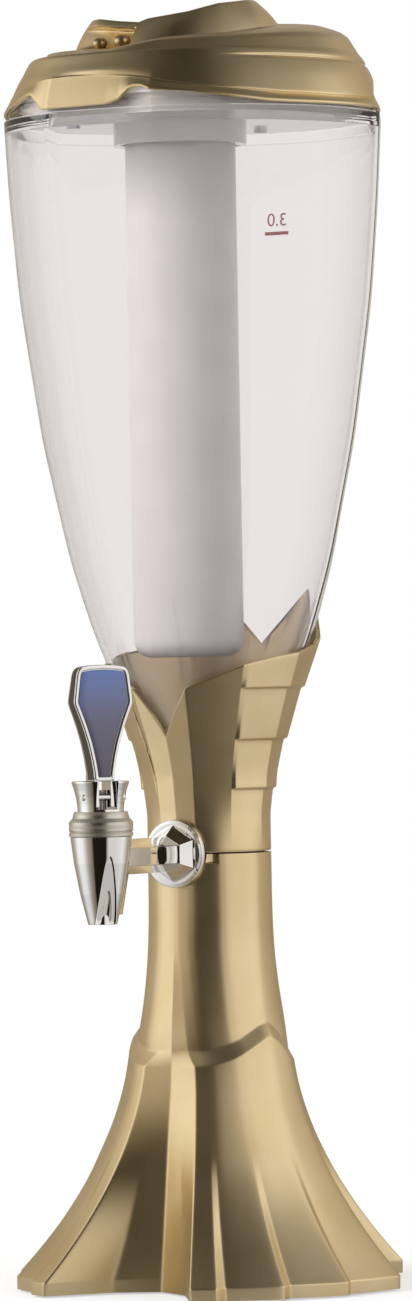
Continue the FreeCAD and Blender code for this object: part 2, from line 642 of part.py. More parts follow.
def on_tap(shape):
    """Moves a piece drawn at the origin, facing -Y, onto the tap's axis, facing the lever's way."""
    placed = shape.copy()
    placed.rotate(Vector(0, 0, 0), Vector(0, 0, 1), LEVER_TURN_ANGLE)
    placed.translate(Vector(0, TAP_Y, 0))
    return placed


def body_cone(inset=0.0):
    outline = ((SPOUT_R, SPOUT_Z), (BODY_SLOPE_R, BODY_SLOPE_Z), (BODY_TOP_R, BODY_TOP_Z))
    return turned([(0, SPOUT_Z)] + [(r - inset, z) for r, z in outline] + [(0, BODY_TOP_Z)])


def front_arch():
    """A pointed arch cut shallow into the front of the body: two arcs that meet at the tip."""
    rise = ARCH_TIP_Z - ARCH_LOW_Z
    low_left, low_right = Vector(-ARCH_HALF, 0, ARCH_LOW_Z), Vector(ARCH_HALF, 0, ARCH_LOW_Z)
    tip = Vector(0, 0, ARCH_TIP_Z)
    side = ARCH_HALF * 0.86
    middle_z = ARCH_LOW_Z + rise / 2
    edges = [Part.makeLine(low_left, low_right),
             Part.Arc(low_right, Vector(side, 0, middle_z), tip).toShape(),
             Part.Arc(tip, Vector(-side, 0, middle_z), low_left).toShape()]
    prism = Part.Face(Part.Wire(edges)).extrude(Vector(0, -2 * BODY_TOP_R, 0))
    return prism.cut(body_cone(ARCH_DEPTH))


def tap_body():
    body = body_cone().cut(front_arch())
    body = on_tap(body).fuse(disc(COLLET_R, BODY_TOP_Z - 0.5, COLLET_TOP_Z, 0, TAP_Y))
    side = [Vector(0, 0, WEB_LOW_Z), Vector(0, WEB_LOW_REACH, WEB_LOW_Z), Vector(0, WEB_REACH, PARTING_Z - 5),
            Vector(0, WEB_REACH, PARTING_Z), Vector(0, 0, PARTING_Z)]
    web = Part.Face(Part.makePolygon(side + side[:1])).extrude(Vector(WEB_WIDTH, 0, 0))
    web.translate(Vector(-WEB_WIDTH / 2, TAP_Y, 0))
    rear_edges = [e for e in web.Edges if e.BoundBox.YMin > TAP_Y + 1 and e.BoundBox.XLength < 0.01]
    web = web.makeFillet(WEB_WIDTH / 2 - 1.5, rear_edges)
    shank_end = INNER_SEAT_Y + WASHER_THICK + NUT_THICK + 2.0
    hex_end = FLANGE_BACK_Y - FLANGE_LEN - HEX_END_GAP
    shank = hex_along_y(SHANK_R, TAP_Y, hex_end, 30.0)
    shank = shank.fuse(along_y(SHANK_R, hex_end, FLANGE_BACK_Y, PARTING_Z))
    body = body.fuse(web).fuse(shank).fuse(along_y(THREAD_R, TAP_Y, shank_end, PARTING_Z))
    body = body.cut(disc(CHAMBER_R, SEAT_Z, COLLET_TOP_Z + 1, 0, TAP_Y))
    body = body.cut(disc(OUTLET_R, SPOUT_Z - 1, SEAT_Z + 1, 0, TAP_Y))
    return body.cut(along_y(INLET_R, TAP_Y, shank_end + 1, PARTING_Z)).removeSplitter()


def tap_flange():
    front = FLANGE_BACK_Y - FLANGE_LEN
    hole = SHANK_R + FIT
    rim_front = FLANGE_BACK_Y - FLANGE_RIM
    return turned_along_y([(hole, FLANGE_BACK_Y), (FLANGE_R, FLANGE_BACK_Y), (FLANGE_R, rim_front),
                           (HUB_R + 1.0, rim_front - 0.8), (HUB_R, rim_front - 1.2), (hole + 1.0, front),
                           (hole, front)], PARTING_Z)


def outer_gasket():
    block = along_y(GASKET_R, FLANGE_BACK_Y, -NECK_R, PARTING_Z)
    block = block.cut(along_y(THREAD_R + THREAD_GAP, -COLUMN_R - 8, -NECK_R / 2, PARTING_Z))
    return block.cut(disc(COLUMN_R, PARTING_Z - 2 * GASKET_R, PARTING_Z + 2 * GASKET_R))


def inner_gasket():
    inside = disc(tank_radius(PARTING_Z) - TANK_WALL, PARTING_Z - NECK_R, PARTING_Z + NECK_R)
    block = along_y(WASHER_R, -NECK_R, INNER_SEAT_Y, PARTING_Z).common(inside)
    return block.cut(shank_hole(THREAD_R + FIT))


def shank_washer():
    ring = along_y(WASHER_R, INNER_SEAT_Y, INNER_SEAT_Y + WASHER_THICK, PARTING_Z)
    return ring.cut(along_y(THREAD_R + FIT, INNER_SEAT_Y - 1, 0, PARTING_Z))


def shank_nut():
    near = INNER_SEAT_Y + WASHER_THICK
    nut = hex_along_y(NUT_ACROSS / math.sqrt(3), near, near + NUT_THICK, 0.0)
    return nut.cut(along_y(THREAD_R + FIT, near - 1, near + NUT_THICK + 1, PARTING_Z))


def ring_nut():
    lip_z = COLLET_TOP_Z + CROWN_FLANGE_H + LIP_GAP
    low_groove, low_band = RING_BOTTOM_Z + 1.6, RING_BOTTOM_Z + 2.8
    inside = COLLET_R + NUT_GAP
    return turned([(inside, RING_BOTTOM_Z), (RING_R, RING_BOTTOM_Z), (RING_R, low_groove),
                   (RING_R - GROOVE, low_groove + GROOVE), (RING_R, low_band), (RING_R, RING_TOP_Z - 4.6),
                   (RING_R - 1.0, RING_TOP_Z - 3.4), (RING_TOP_R + 0.8, RING_TOP_Z - 3.0),
                   (RING_TOP_R, RING_TOP_Z), (CROWN_NECK_R + FIT, RING_TOP_Z), (CROWN_NECK_R + FIT, lip_z),
                   (inside, lip_z)], 0, TAP_Y)


def crown():
    low = COLLET_TOP_Z + CROWN_GAP
    flange_r = COLLET_R - CROWN_GAP
    body = turned([(STEM_R + FIT, low), (flange_r, low), (flange_r, low + CROWN_FLANGE_H),
                   (CROWN_NECK_R, low + CROWN_FLANGE_H), (CROWN_NECK_R, RING_TOP_Z + 1.0),
                   (CROWN_NECK_R + 0.8, CROWN_TOP_Z - 6.0), (CROWN_TOP_R, CROWN_TOP_Z - 1.2),
                   (CROWN_TOP_R, CROWN_TOP_Z), (STEM_R + FIT, CROWN_TOP_Z)])
    slot = Part.makeBox(SLOT_WIDTH, 4 * CROWN_TOP_R, CROWN_TOP_Z,
                        Vector(-SLOT_WIDTH / 2, -2 * CROWN_TOP_R, SLOT_FLOOR_Z))
    return on_tap(body.cut(slot).cut(pivot_bar(PIVOT_R)))


def pivot_bar(radius, half_length=LEVER_SPAN):
    start = Vector(-half_length, -PIVOT_AHEAD, PIVOT_Z)
    return Part.makeCylinder(radius, 2 * half_length, start, Vector(1, 0, 0))


def pivot_pin():
    reach = CROWN_NECK_R + 0.8
    return on_tap(pivot_bar(PIVOT_R, math.sqrt(reach ** 2 - PIVOT_AHEAD ** 2)))


def lever_outline(grow=0.0):
    right = [Vector(w, 0, z) for w, z in LEVER_OUTLINE]
    left = [Vector(-w, 0, z) for w, z in reversed(LEVER_OUTLINE)]
    face = Part.Face(Part.makePolygon(right + left + right[:1]))
    return face.makeOffset2D(grow) if grow else face


def lever_front_y():
    return -LEVER_FOOT_D / 2


def lever_handle():
    front = lever_front_y()
    blade = lever_outline().extrude(Vector(0, 2 * LEVER_FOOT_D, 0))
    blade.translate(Vector(0, front, 0))
    low_corner = Vector(-LEVER_FOOT_W / 2, front, LEVER_FOOT_Z)
    foot = Part.makeBox(LEVER_FOOT_W, 2 * LEVER_FOOT_D, LEVER_WAIST_Z - LEVER_FOOT_Z, low_corner)
    top_z = LEVER_OUTLINE[-1][1]
    back = ((LEVER_FOOT_D, LEVER_FOOT_Z), (LEVER_FOOT_D, LEVER_WAIST_Z), (LEVER_BELLY_D, LEVER_BELLY_Z),
            (LEVER_TOP_D, top_z), (0.0, top_z))
    side = [Vector(-LEVER_SPAN, front, LEVER_FOOT_Z)] + [Vector(-LEVER_SPAN, front + d, z) for d, z in back]
    profile = Part.Face(Part.makePolygon(side + side[:1])).extrude(Vector(2 * LEVER_SPAN, 0, 0))
    lever = blade.fuse(foot).common(profile)
    pocket = lever_outline(-BADGE_INSET).extrude(Vector(0, BADGE_THICK, 0))
    pocket.translate(Vector(0, front, 0))
    gap = Part.makeBox(CLEVIS_GAP, 4 * LEVER_FOOT_D, CLEVIS_TOP_Z - LEVER_FOOT_Z + 5,
                       Vector(-CLEVIS_GAP / 2, -2 * LEVER_FOOT_D, LEVER_FOOT_Z - 5))
    slip = PIVOT_AHEAD * (1 / math.cos(math.radians(LEVER_TILT_ANGLE)) - 1)
    slot = Part.makeBox(2 * LEVER_SPAN, slip + 2 * (PIN_R + RUN_GAP), 2 * (PIN_R + RUN_GAP),
                        Vector(-LEVER_SPAN, -PIN_R - RUN_GAP, PIVOT_Z - PIN_R - RUN_GAP))
    return on_tap(lever.cut(pocket).cut(gap).cut(slot).cut(pivot_bar(PIVOT_R + FIT)).removeSplitter())


def handle_badge():
    plate = lever_outline(-BADGE_INSET).extrude(Vector(0, BADGE_THICK - 0.2, 0))
    plate.translate(Vector(0, lever_front_y() + 0.2, 0))
    return on_tap(plate)


def valve_stem():
    plug_top = SEAT_Z + SEAT_GAP + PLUG_H
    stem = disc(STEM_R, plug_top, STEM_TOP_Z).fuse(disc(STEM_TIP_R, plug_top - STEM_TIP_LEN, plug_top + 1))
    stem = stem.fuse(disc(STEM_COLLAR_R, STEM_COLLAR_Z, STEM_COLLAR_Z + STEM_COLLAR_H))
    cross = Part.makeCylinder(PIN_R, 4 * STEM_R, Vector(-2 * STEM_R, 0, PIVOT_Z), Vector(1, 0, 0))
    return on_tap(stem.cut(cross).removeSplitter())


def stem_pin():
    return on_tap(Part.makeCylinder(PIN_R, PIN_LEN, Vector(-PIN_LEN / 2, 0, PIVOT_Z), Vector(1, 0, 0)))


def seat_plug():
    low = SEAT_Z + SEAT_GAP
    plug = turned([(0, low), (PLUG_R - 0.6, low), (PLUG_R, low + 0.8), (PLUG_R, low + PLUG_H - 0.6),
                   (PLUG_R - 1.0, low + PLUG_H), (0, low + PLUG_H)])
    return on_tap(plug.cut(disc(STEM_TIP_R, low + PLUG_H - STEM_TIP_LEN, low + PLUG_H + 1)))


def stem_seal():
    return tube(CHAMBER_R - 0.1, STEM_R + FIT, SEAL_Z, SEAL_Z + SEAL_RING_H, 0, TAP_Y)


def gland_ring():
    return tube(CHAMBER_R - 0.05, STEM_R + FIT, SEAL_Z + SEAL_RING_H, COLLET_TOP_Z, 0, TAP_Y)


def return_spring():
    low = STEM_COLLAR_Z + STEM_COLLAR_H + SPRING_WIRE
    height = SEAL_Z - SPRING_WIRE - low
    helix = Part.makeHelix(height / SPRING_TURNS, height, SPRING_R)
    circle = Part.Wire(Part.makeCircle(SPRING_WIRE, Vector(SPRING_R, 0, 0), Vector(0, 1, 0)))
    spring = Part.Wire(helix).makePipeShell([circle], True, True)
    spring.translate(Vector(0, TAP_Y, low))
    return spring


PIECES = (foot_shell, bottom_cover, cover_screws, rubber_foot_ring, ballast_disc, collar_shell,
          coupling_sleeve, tank, tank_seat, ice_tube, ice_tube_gasket, lid_shell, lid_liner, lid_seal,
          lid_screws, tap_body, tap_flange, outer_gasket, inner_gasket, shank_washer, shank_nut, ring_nut,
          crown, pivot_pin, lever_handle, handle_badge, valve_stem, stem_pin, seat_plug, stem_seal,
          gland_ring, return_spring)

os.makedirs("parts", exist_ok=True)
for make in PIECES:
    shape = make()
    print(make.__name__, len(shape.Solids), round(shape.Volume / 1000, 2), shape.isValid())
    shape.exportStep("parts/" + make.__name__ + ".step")
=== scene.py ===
"""Table-top drink tower: satin gold shells, clear tank with an ice tube, chrome lever tap.

Metres, +Z up, the tap points along -Y.  Shapes are worked out in millimetres and scaled as they are placed.
Azimuths are in degrees from the tap's direction, positive anticlockwise seen from above.
"""
import math

import bmesh
import bpy
import numpy as np
from mathutils import Matrix, Vector


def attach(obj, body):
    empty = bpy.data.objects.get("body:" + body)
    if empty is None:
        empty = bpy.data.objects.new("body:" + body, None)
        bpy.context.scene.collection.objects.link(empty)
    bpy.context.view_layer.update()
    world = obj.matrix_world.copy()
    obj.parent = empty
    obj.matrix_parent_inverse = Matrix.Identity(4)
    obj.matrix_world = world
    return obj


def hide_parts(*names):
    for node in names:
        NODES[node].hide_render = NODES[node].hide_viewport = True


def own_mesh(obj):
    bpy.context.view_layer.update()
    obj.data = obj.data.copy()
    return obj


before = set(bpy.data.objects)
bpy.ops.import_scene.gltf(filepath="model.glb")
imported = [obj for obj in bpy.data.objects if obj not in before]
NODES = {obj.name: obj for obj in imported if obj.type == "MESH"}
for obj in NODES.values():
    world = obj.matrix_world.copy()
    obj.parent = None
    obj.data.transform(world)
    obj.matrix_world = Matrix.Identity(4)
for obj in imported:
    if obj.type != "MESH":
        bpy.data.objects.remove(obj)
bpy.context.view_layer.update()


# ---------------------------------------------------------------- the studio
# A pale table top, an even white surround, two soft lamps, and a tent of cards that only shiny
# surfaces see: bright walls at both sides and a dark gap where the camera looks in.
CAMERA_AZIMUTH = 32.0
CAMERA_AWAY, CAMERA_Z = 3.1, 0.2855
CAMERA_ROLL = 1.0           # the picture leans by this much
FRAME_HEIGHT = 0.5855       # what the picture's height takes in at the tower's axis
SENSOR = 36.0

TENT_R, TENT_LOW, TENT_HIGH = 1.15, -0.30, 1.40
TENT_MIDDLE = 0.5           # the height that its angles up and down are taken from
# brightness by degrees to the right of the camera's place
TENT_WALLS = ((-180, 0.60), (-152, 0.36), (-136, 0.42), (-120, 0.58), (-106, 0.95), (-96, 1.2), (-74, 1.15),
              (-57, 0.60), (-44, 0.38), (-36, 0.28), (-31, 0.02), (16, 0.015), (20, 0.55), (27, 0.92),
              (44, 0.90), (62, 0.95), (90, 1.05), (104, 0.78), (121, 0.44), (150, 0.36), (180, 0.60))
TENT_SKYLIGHT = ((-180, 0.25), (-120, 0.06), (-60, 0.03), (24, 0.03), (60, 0.5), (90, 1.0), (150, 1.0),
                 (180, 0.25))
# shares of the walls' and of the skylight's brightness by degrees up
TENT_HEIGHTS = ((-90, 0.6), (-35, 0.6), (-25, 0.82), (-15, 0.98), (0, 1.0), (28, 1.1), (34, 0.55),
                (39, 0.16), (90, 0.14))
TENT_CEILING = ((-90, 0.0), (20, 0.0), (32, 0.16), (56, 0.16), (70, 0.015), (90, 0.015))
TENT_WARM = (1.0, 0.80, 0.50)       # the colour that the dimmest cards tend to
SURROUND = 0.74             # the surround's strength as a light
FADE_START, FADE_END = 0.10, 0.24   # where the table top fades out, from the tower's axis
LAMP_HEIGHT, LAMP_SIZE, LAMP_AIM = 1.5, 1.2, Vector((0, 0, 0.3))


def linear(code):
    """An sRGB hex colour as linear red, green, blue and alpha."""
    parts = np.array([int(code[k:k + 2], 16) for k in (1, 3, 5)]) / 255
    low, high = parts / 12.92, ((parts + 0.055) / 1.055) ** 2.4
    return tuple(np.where(parts <= 0.04045, low, high)) + (1.0,)


def add(tree, kind, links=(), **settings):
    """One node in the tree, with its settings and links.

    A setting goes to an attribute or a socket of that name.  A link is a socket and what feeds it:
    a node, by its first output, or one of its other outputs, or a plain value.
    """
    node = tree.nodes.new("ShaderNode" + kind)
    for name, value in settings.items():
        if hasattr(node, name):
            setattr(node, name, value)
        else:
            node.inputs[name.replace("_", " ")].default_value = value
    for socket, source in links:
        if isinstance(source, bpy.types.Node):
            source = source.outputs[0]
        if isinstance(source, bpy.types.NodeSocket):
            tree.links.new(source, node.inputs[socket])
        else:
            node.inputs[socket].default_value = source
    return node


def set_ramp(node, stops):
    """Gives a colour ramp its stops: places with a brightness, a linear colour or a hex colour."""
    ramp = node.color_ramp
    while len(ramp.elements) < len(stops):
        ramp.elements.new(1.0)
    for element, (place, value) in zip(ramp.elements, stops):
        element.position = place
        plain = linear(value) if isinstance(value, str) else np.broadcast_to(value, 3)
        element.color = tuple(plain[:3]) + (1.0,)
    return node


def new_material(name):
    """An empty material and its tree."""
    material = bpy.data.materials.new(name)
    material.use_nodes = True
    material.node_tree.nodes.clear()
    return material, material.node_tree


def finish_material(material, shader):
    """Sends the shader to the material's surface."""
    add(material.node_tree, "OutputMaterial", [("Surface", shader)])
    return material


def polar(radius, azimuth, z):
    """Points at this radius, azimuth and height: x = r sin a, y = -r cos a, millimetres to metres."""
    turn = np.radians(azimuth)
    return np.stack(np.broadcast_arrays(radius * np.sin(turn), -radius * np.cos(turn), z), axis=-1) / 1000.0


def surface(name, material, *grids, sharp=55.0):
    """A mesh through grids of points, rows up the outside and columns anticlockwise round the piece.

    Each cell of a grid is a face, the last column joins the first, and points that coincide, as at a
    pole or where a profile closes on itself, become one.
    """
    points, faces, start = [], [], 0
    for grid in grids:
        rows, columns = grid.shape[:2]
        index = start + np.arange(rows * columns).reshape(rows, columns)
        index = np.hstack([index, index[:, :1]])
        cells = np.stack([index[:-1, :-1], index[:-1, 1:], index[1:, 1:], index[1:, :-1]], axis=-1)
        points.append(grid.reshape(-1, 3))
        faces.append(cells.reshape(-1, 4))
        start += rows * columns
    mesh = bpy.data.meshes.new(name)
    mesh.from_pydata(np.vstack(points), [], np.vstack(faces))
    body = bmesh.new()
    body.from_mesh(mesh)
    bmesh.ops.remove_doubles(body, verts=body.verts, dist=2e-7)
    body.to_mesh(mesh)
    body.free()
    mesh.polygons.foreach_set("use_smooth", np.ones(len(mesh.polygons), dtype=bool))
    mesh.set_sharp_from_angle(angle=math.radians(sharp))
    mesh.materials.append(material)
    piece = bpy.data.objects.new(name, mesh)
    bpy.context.scene.collection.objects.link(piece)
    return piece


def turned(profile, columns=96):
    """A profile of (radius, z) carried round the upright axis, as a grid of points."""
    azimuth = np.arange(columns) * 360.0 / columns
    return polar(profile[:, :1], azimuth[None, :], profile[:, 1:2])


facing = math.radians(CAMERA_AZIMUTH)
ahead = Vector((-math.sin(facing), math.cos(facing), 0.0))
level_right = Vector((math.cos(facing), math.sin(facing), 0.0))
roll = math.radians(CAMERA_ROLL)
right = level_right * math.cos(roll) - Vector((0, 0, 1)) * math.sin(roll)
up = Vector((0, 0, 1)) * math.cos(roll) + level_right * math.sin(roll)
camera = bpy.data.objects.new("camera", bpy.data.cameras.new("camera"))
camera.matrix_world = Matrix.Translation(Vector((0, 0, CAMERA_Z)) - ahead * CAMERA_AWAY) @ Matrix(
    (right, up, -ahead)).transposed().to_4x4()
camera.data.sensor_fit = "VERTICAL"
camera.data.sensor_height = SENSOR
camera.data.lens = SENSOR * CAMERA_AWAY / FRAME_HEIGHT
camera.data.clip_end = 20.0
bpy.context.scene.collection.objects.link(camera)
bpy.context.scene.camera = camera
bpy.context.scene.view_settings.view_transform = "Standard"

world = bpy.data.worlds.new("white_surround")
bpy.context.scene.world = world
world.use_nodes = True
sky = world.node_tree
sky.nodes.clear()
ray = add(sky, "LightPath")
seen = add(sky, "Math", [(0, ray.outputs["Is Camera Ray"]), (1, ray.outputs["Is Glossy Ray"])],
           operation="MAXIMUM")
seen = add(sky, "Math", [(0, seen), (1, ray.outputs["Is Transmission Ray"])], operation="MAXIMUM")
direct = add(sky, "Math", [(0, ray.outputs["Diffuse Depth"]), (1, 0.5)], operation="LESS_THAN")
seen = add(sky, "Math", [(0, seen), (1, direct)], operation="MULTIPLY")
strength = add(sky, "MapRange", [("Value", seen)], To_Min=SURROUND, To_Max=1.0)
backdrop = add(sky, "Background", [("Strength", strength)], Color=(1.0, 1.0, 1.0, 1.0))
add(sky, "OutputWorld", [("Surface", backdrop)])


def card_colour(brightness):
    """A card's colour: white times its brightness, and the warmer the further that is below 1."""
    white = min(brightness, 1.0)
    return brightness * (white + (1 - white) * np.array(TENT_WARM))


# The tent's brightness depends on the way round from the camera's place and on the angle up from the
# tank's middle: the walls times the heights, plus the ceiling times the skylight.
tent_card, tree = new_material("tent_card")
place = add(tree, "TexCoord")
apart = add(tree, "SeparateXYZ", [(0, place.outputs["Object"])])
back = add(tree, "Math", [(0, apart.outputs["Y"]), (1, -1.0)], operation="MULTIPLY")
turn = add(tree, "Math", [(0, apart.outputs["X"]), (1, back)], operation="ARCTAN2")
turn = add(tree, "Math", [(0, turn), (1, facing)], operation="SUBTRACT")
turn = add(tree, "Math", [(0, turn), (1, math.pi), (2, -math.pi)], operation="WRAP")
turn = add(tree, "MapRange", [("Value", turn)], From_Min=-math.pi, From_Max=math.pi)
walls = set_ramp(add(tree, "ValToRGB", [("Fac", turn)]),
                 [((degrees + 180) / 360, card_colour(brightness)) for degrees, brightness in TENT_WALLS])
skylight = set_ramp(add(tree, "ValToRGB", [("Fac", turn)]),
                    [((degrees + 180) / 360, brightness) for degrees, brightness in TENT_SKYLIGHT])
plan = add(tree, "VectorMath", [(0, place.outputs["Object"]), (1, (1.0, 1.0, 0.0))], operation="MULTIPLY")
outward = add(tree, "VectorMath", [(0, plan.outputs["Vector"])], operation="LENGTH")
above = add(tree, "Math", [(0, apart.outputs["Z"]), (1, TENT_MIDDLE)], operation="SUBTRACT")
climb = add(tree, "Math", [(0, above), (1, outward.outputs["Value"])], operation="ARCTAN2")
climb = add(tree, "MapRange", [("Value", climb)], From_Min=-math.pi / 2, From_Max=math.pi / 2)
heights, ceiling = [set_ramp(add(tree, "ValToRGB", [("Fac", climb)]),
                             [((degrees + 90) / 180, share) for degrees, share in stops])
                    for stops in (TENT_HEIGHTS, TENT_CEILING)]
overhead = add(tree, "VectorMath", [(0, ceiling), (1, skylight)], operation="MULTIPLY")
bright = add(tree, "VectorMath", [(0, walls), (1, heights), (2, overhead)], operation="MULTIPLY_ADD")
glow = add(tree, "Emission", [("Color", bright)])
finish_material(tent_card, glow)
tent_profile = np.array(((0.0, TENT_LOW), (TENT_R, TENT_LOW), (TENT_R, TENT_HIGH), (0.0, TENT_HIGH)))
tent = surface("tent", tent_card, turned(1000 * tent_profile, 72))
tent.visible_camera = tent.visible_diffuse = tent.visible_transmission = False
tent.visible_shadow = tent.visible_volume_scatter = False

# The table top is pale and fades into the surround, so that only its shade under the foot shows.
table_top, tree = new_material("pale_laminate")
place = add(tree, "TexCoord")
away = add(tree, "VectorMath", [(0, place.outputs["Object"])], operation="LENGTH")
fade = add(tree, "MapRange", [("Value", away.outputs["Value"])], From_Min=FADE_START,
           From_Max=FADE_END, interpolation_type="SMOOTHSTEP")
laminate = add(tree, "BsdfPrincipled", Base_Color=linear("#f7f6f3"), Roughness=0.6)
ray = add(tree, "LightPath")
glow = add(tree, "Emission", [("Strength", ray.outputs["Is Camera Ray"])])
half = add(tree, "MixShader", [(1, laminate), (2, glow)], Fac=0.55)
clear = add(tree, "BsdfTransparent")
mixed = add(tree, "MixShader", [(0, fade), (1, half), (2, clear)])
finish_material(table_top, mixed)
table_rings = np.array([[0.0], [110.0], [240.0], [340.0]])
table = surface("table_top", table_top, polar(table_rings, np.arange(0, 360, 7.5)[None, :], -0.05)[::-1])


def soft_lamp(name, azimuth, away, power):
    """A square soft lamp this far from the tower's axis, aimed at the tower's middle."""
    lamp = bpy.data.lights.new(name, "AREA")
    lamp.shape, lamp.size, lamp.energy = "SQUARE", LAMP_SIZE, power
    holder = bpy.data.objects.new(name, lamp)
    spot = Vector(polar(away, azimuth, LAMP_HEIGHT) * 1000)      # in metres, so polar's scale is undone
    aim = (LAMP_AIM - spot).to_track_quat("-Z", "Y")
    holder.matrix_world = Matrix.Translation(spot) @ aim.to_matrix().to_4x4()
    holder.visible_glossy = holder.visible_transmission = holder.visible_camera = False
    bpy.context.scene.collection.objects.link(holder)


soft_lamp("lamp_left", CAMERA_AZIMUTH - 65.0, away=1.9, power=44.0)
soft_lamp("lamp_right", CAMERA_AZIMUTH + 60.0, away=2.0, power=7.0)


# ---------------------------------------------------------------- foot shell
# The foot is a moulded ABS shell with a satin gold lacquer: three fluted lobes between three sharp
# folds, a shoulder step half-way up, and a round column that carries the tank.
RIM_Z, BAND_TOP_Z, FLUTE_TOP_Z = 0.8, 6.5, 62.0
STEP_Z_FOLD, STEP_Z_LOBE, STEP_HEIGHT = 107.0, 119.0, 6.5
APEX_Z, STRAIGHT_Z, PARTING_Z = 150.0, 181.0, 195.0
RIM_R, COLUMN_R, FLARE_R, SHOULDER_R = 92.0, 27.8, 37.0, 33.6
PARTING_GAP = 0.35          # each shell stops this far from the parting line
FOOT_WALL, LINING_FLUTE = 3.0, 5.0      # the wall, and how far its inside keeps clear of the flutes
FOLD_HALF_RIM, FOLD_HALF_STEP = 24.5, 20.0      # half a fold's width in degrees, below the shoulder
FOLD_HALF_OVER, FOLD_HALF_APEX = 14.0, 4.0      # and above it
FOLD_BOW = 7.7              # the fold's walls are hollow by this much at the rim
FOLD_LEAN, LEAN_FROM_Z = 4.0, 90.0      # degrees by which a fold leans over towards its apex
CREASE_RIM_R, CREASE_CLOSES, CREASE_OVER_R = 46.0, 11.6, 33.2
CREASE_BLEND_Z, CREASE_BLEND = 78.0, 60.0       # where the crease goes over from one slope to the other
CLIMB_FROM_Z, CLIMB_IN, CLIMB_OUT = 80.0, 18.0, 36.0    # where the rows start and stop to follow the step
NOTCH_AZIMUTH, NOTCH_HALF, NOTCH_HEIGHT, NOTCH_DEPTH = 36.0, 4.0, 4.6, 2.4     # a notch under the joint
NOTCH_EDGE_ANGLE, NOTCH_EDGE = 0.6, 0.5         # over which the notch deepens
LOBE_SIDE = np.array(((0.0, 0.0), (0.106, 0.0), (0.142, 5.5), (0.373, 1.5), (0.415, 6.5), (0.662, 1.0),
                      (0.70, 5.0), (1.0, 0.0)))
LOBE_BACK = np.array(((0.0, 0.0), (0.106, 0.0), (0.142, 5.5), (0.387, 1.5), (0.613, 1.5), (0.858, 5.5),
                      (0.894, 0.0), (1.0, 0.0)))
LOBES = {0.0: LOBE_SIDE, 120.0: LOBE_BACK,
         240.0: np.column_stack([1 - LOBE_SIDE[::-1, 0], LOBE_SIDE[::-1, 1]])}
SKEW = 2.3                  # the shoulder's line over each lobe is highest away from the tap
SKEWS = {0.0: lambda share: share ** SKEW, 120.0: lambda share: share,
         240.0: lambda share: 1 - (1 - share) ** SKEW}


def satin_gold(name="satin_gold_lacquer"):
    """Satin gold lacquer over moulded ABS: a soft metallic sheen, barely uneven, with a fine grain.

    The flake is about 0.25 mm here, coarser than the real one, so that it shows at all.
    """
    material, tree = new_material(name)
    place = add(tree, "TexCoord")
    cloud = add(tree, "TexNoise", [("Vector", place.outputs["Object"])], Scale=38.0, Detail=4.0)
    grain = add(tree, "TexNoise", [("Vector", place.outputs["Object"])], Scale=4000.0, Detail=2.0)
    tone = set_ramp(add(tree, "ValToRGB", [("Fac", cloud.outputs["Fac"])]),
                    ((0.3, "#e6cf9f"), (0.7, "#efdab0")))
    dull = add(tree, "MapRange", [("Value", cloud.outputs["Fac"])], To_Min=0.34, To_Max=0.4)
    relief = add(tree, "Bump", [("Height", grain.outputs["Fac"])], Strength=0.06, Distance=0.00005)
    shader = add(tree, "BsdfPrincipled", [("Base Color", tone), ("Roughness", dull), ("Normal", relief)],
                 Metallic=1.0)
    return finish_material(material, shader)


def foot_radius_under(z):
    """The flare: it opens with the square of the distance below the shoulder."""
    spread = (RIM_R - FLARE_R) / (1 - BAND_TOP_Z / STEP_Z_LOBE) ** 2
    return FLARE_R + spread * (1 - np.clip(z, BAND_TOP_Z, STEP_Z_LOBE) / STEP_Z_LOBE) ** 2


def foot_radius_over(z):
    """The column above the shoulder: its last flare dies out with a power of the height."""
    rise = 1 - np.clip((z - STEP_Z_LOBE + STEP_HEIGHT) / (STRAIGHT_Z - STEP_Z_LOBE + STEP_HEIGHT), 0, 1)
    return COLUMN_R + (SHOULDER_R - COLUMN_R) * rise ** 2.5


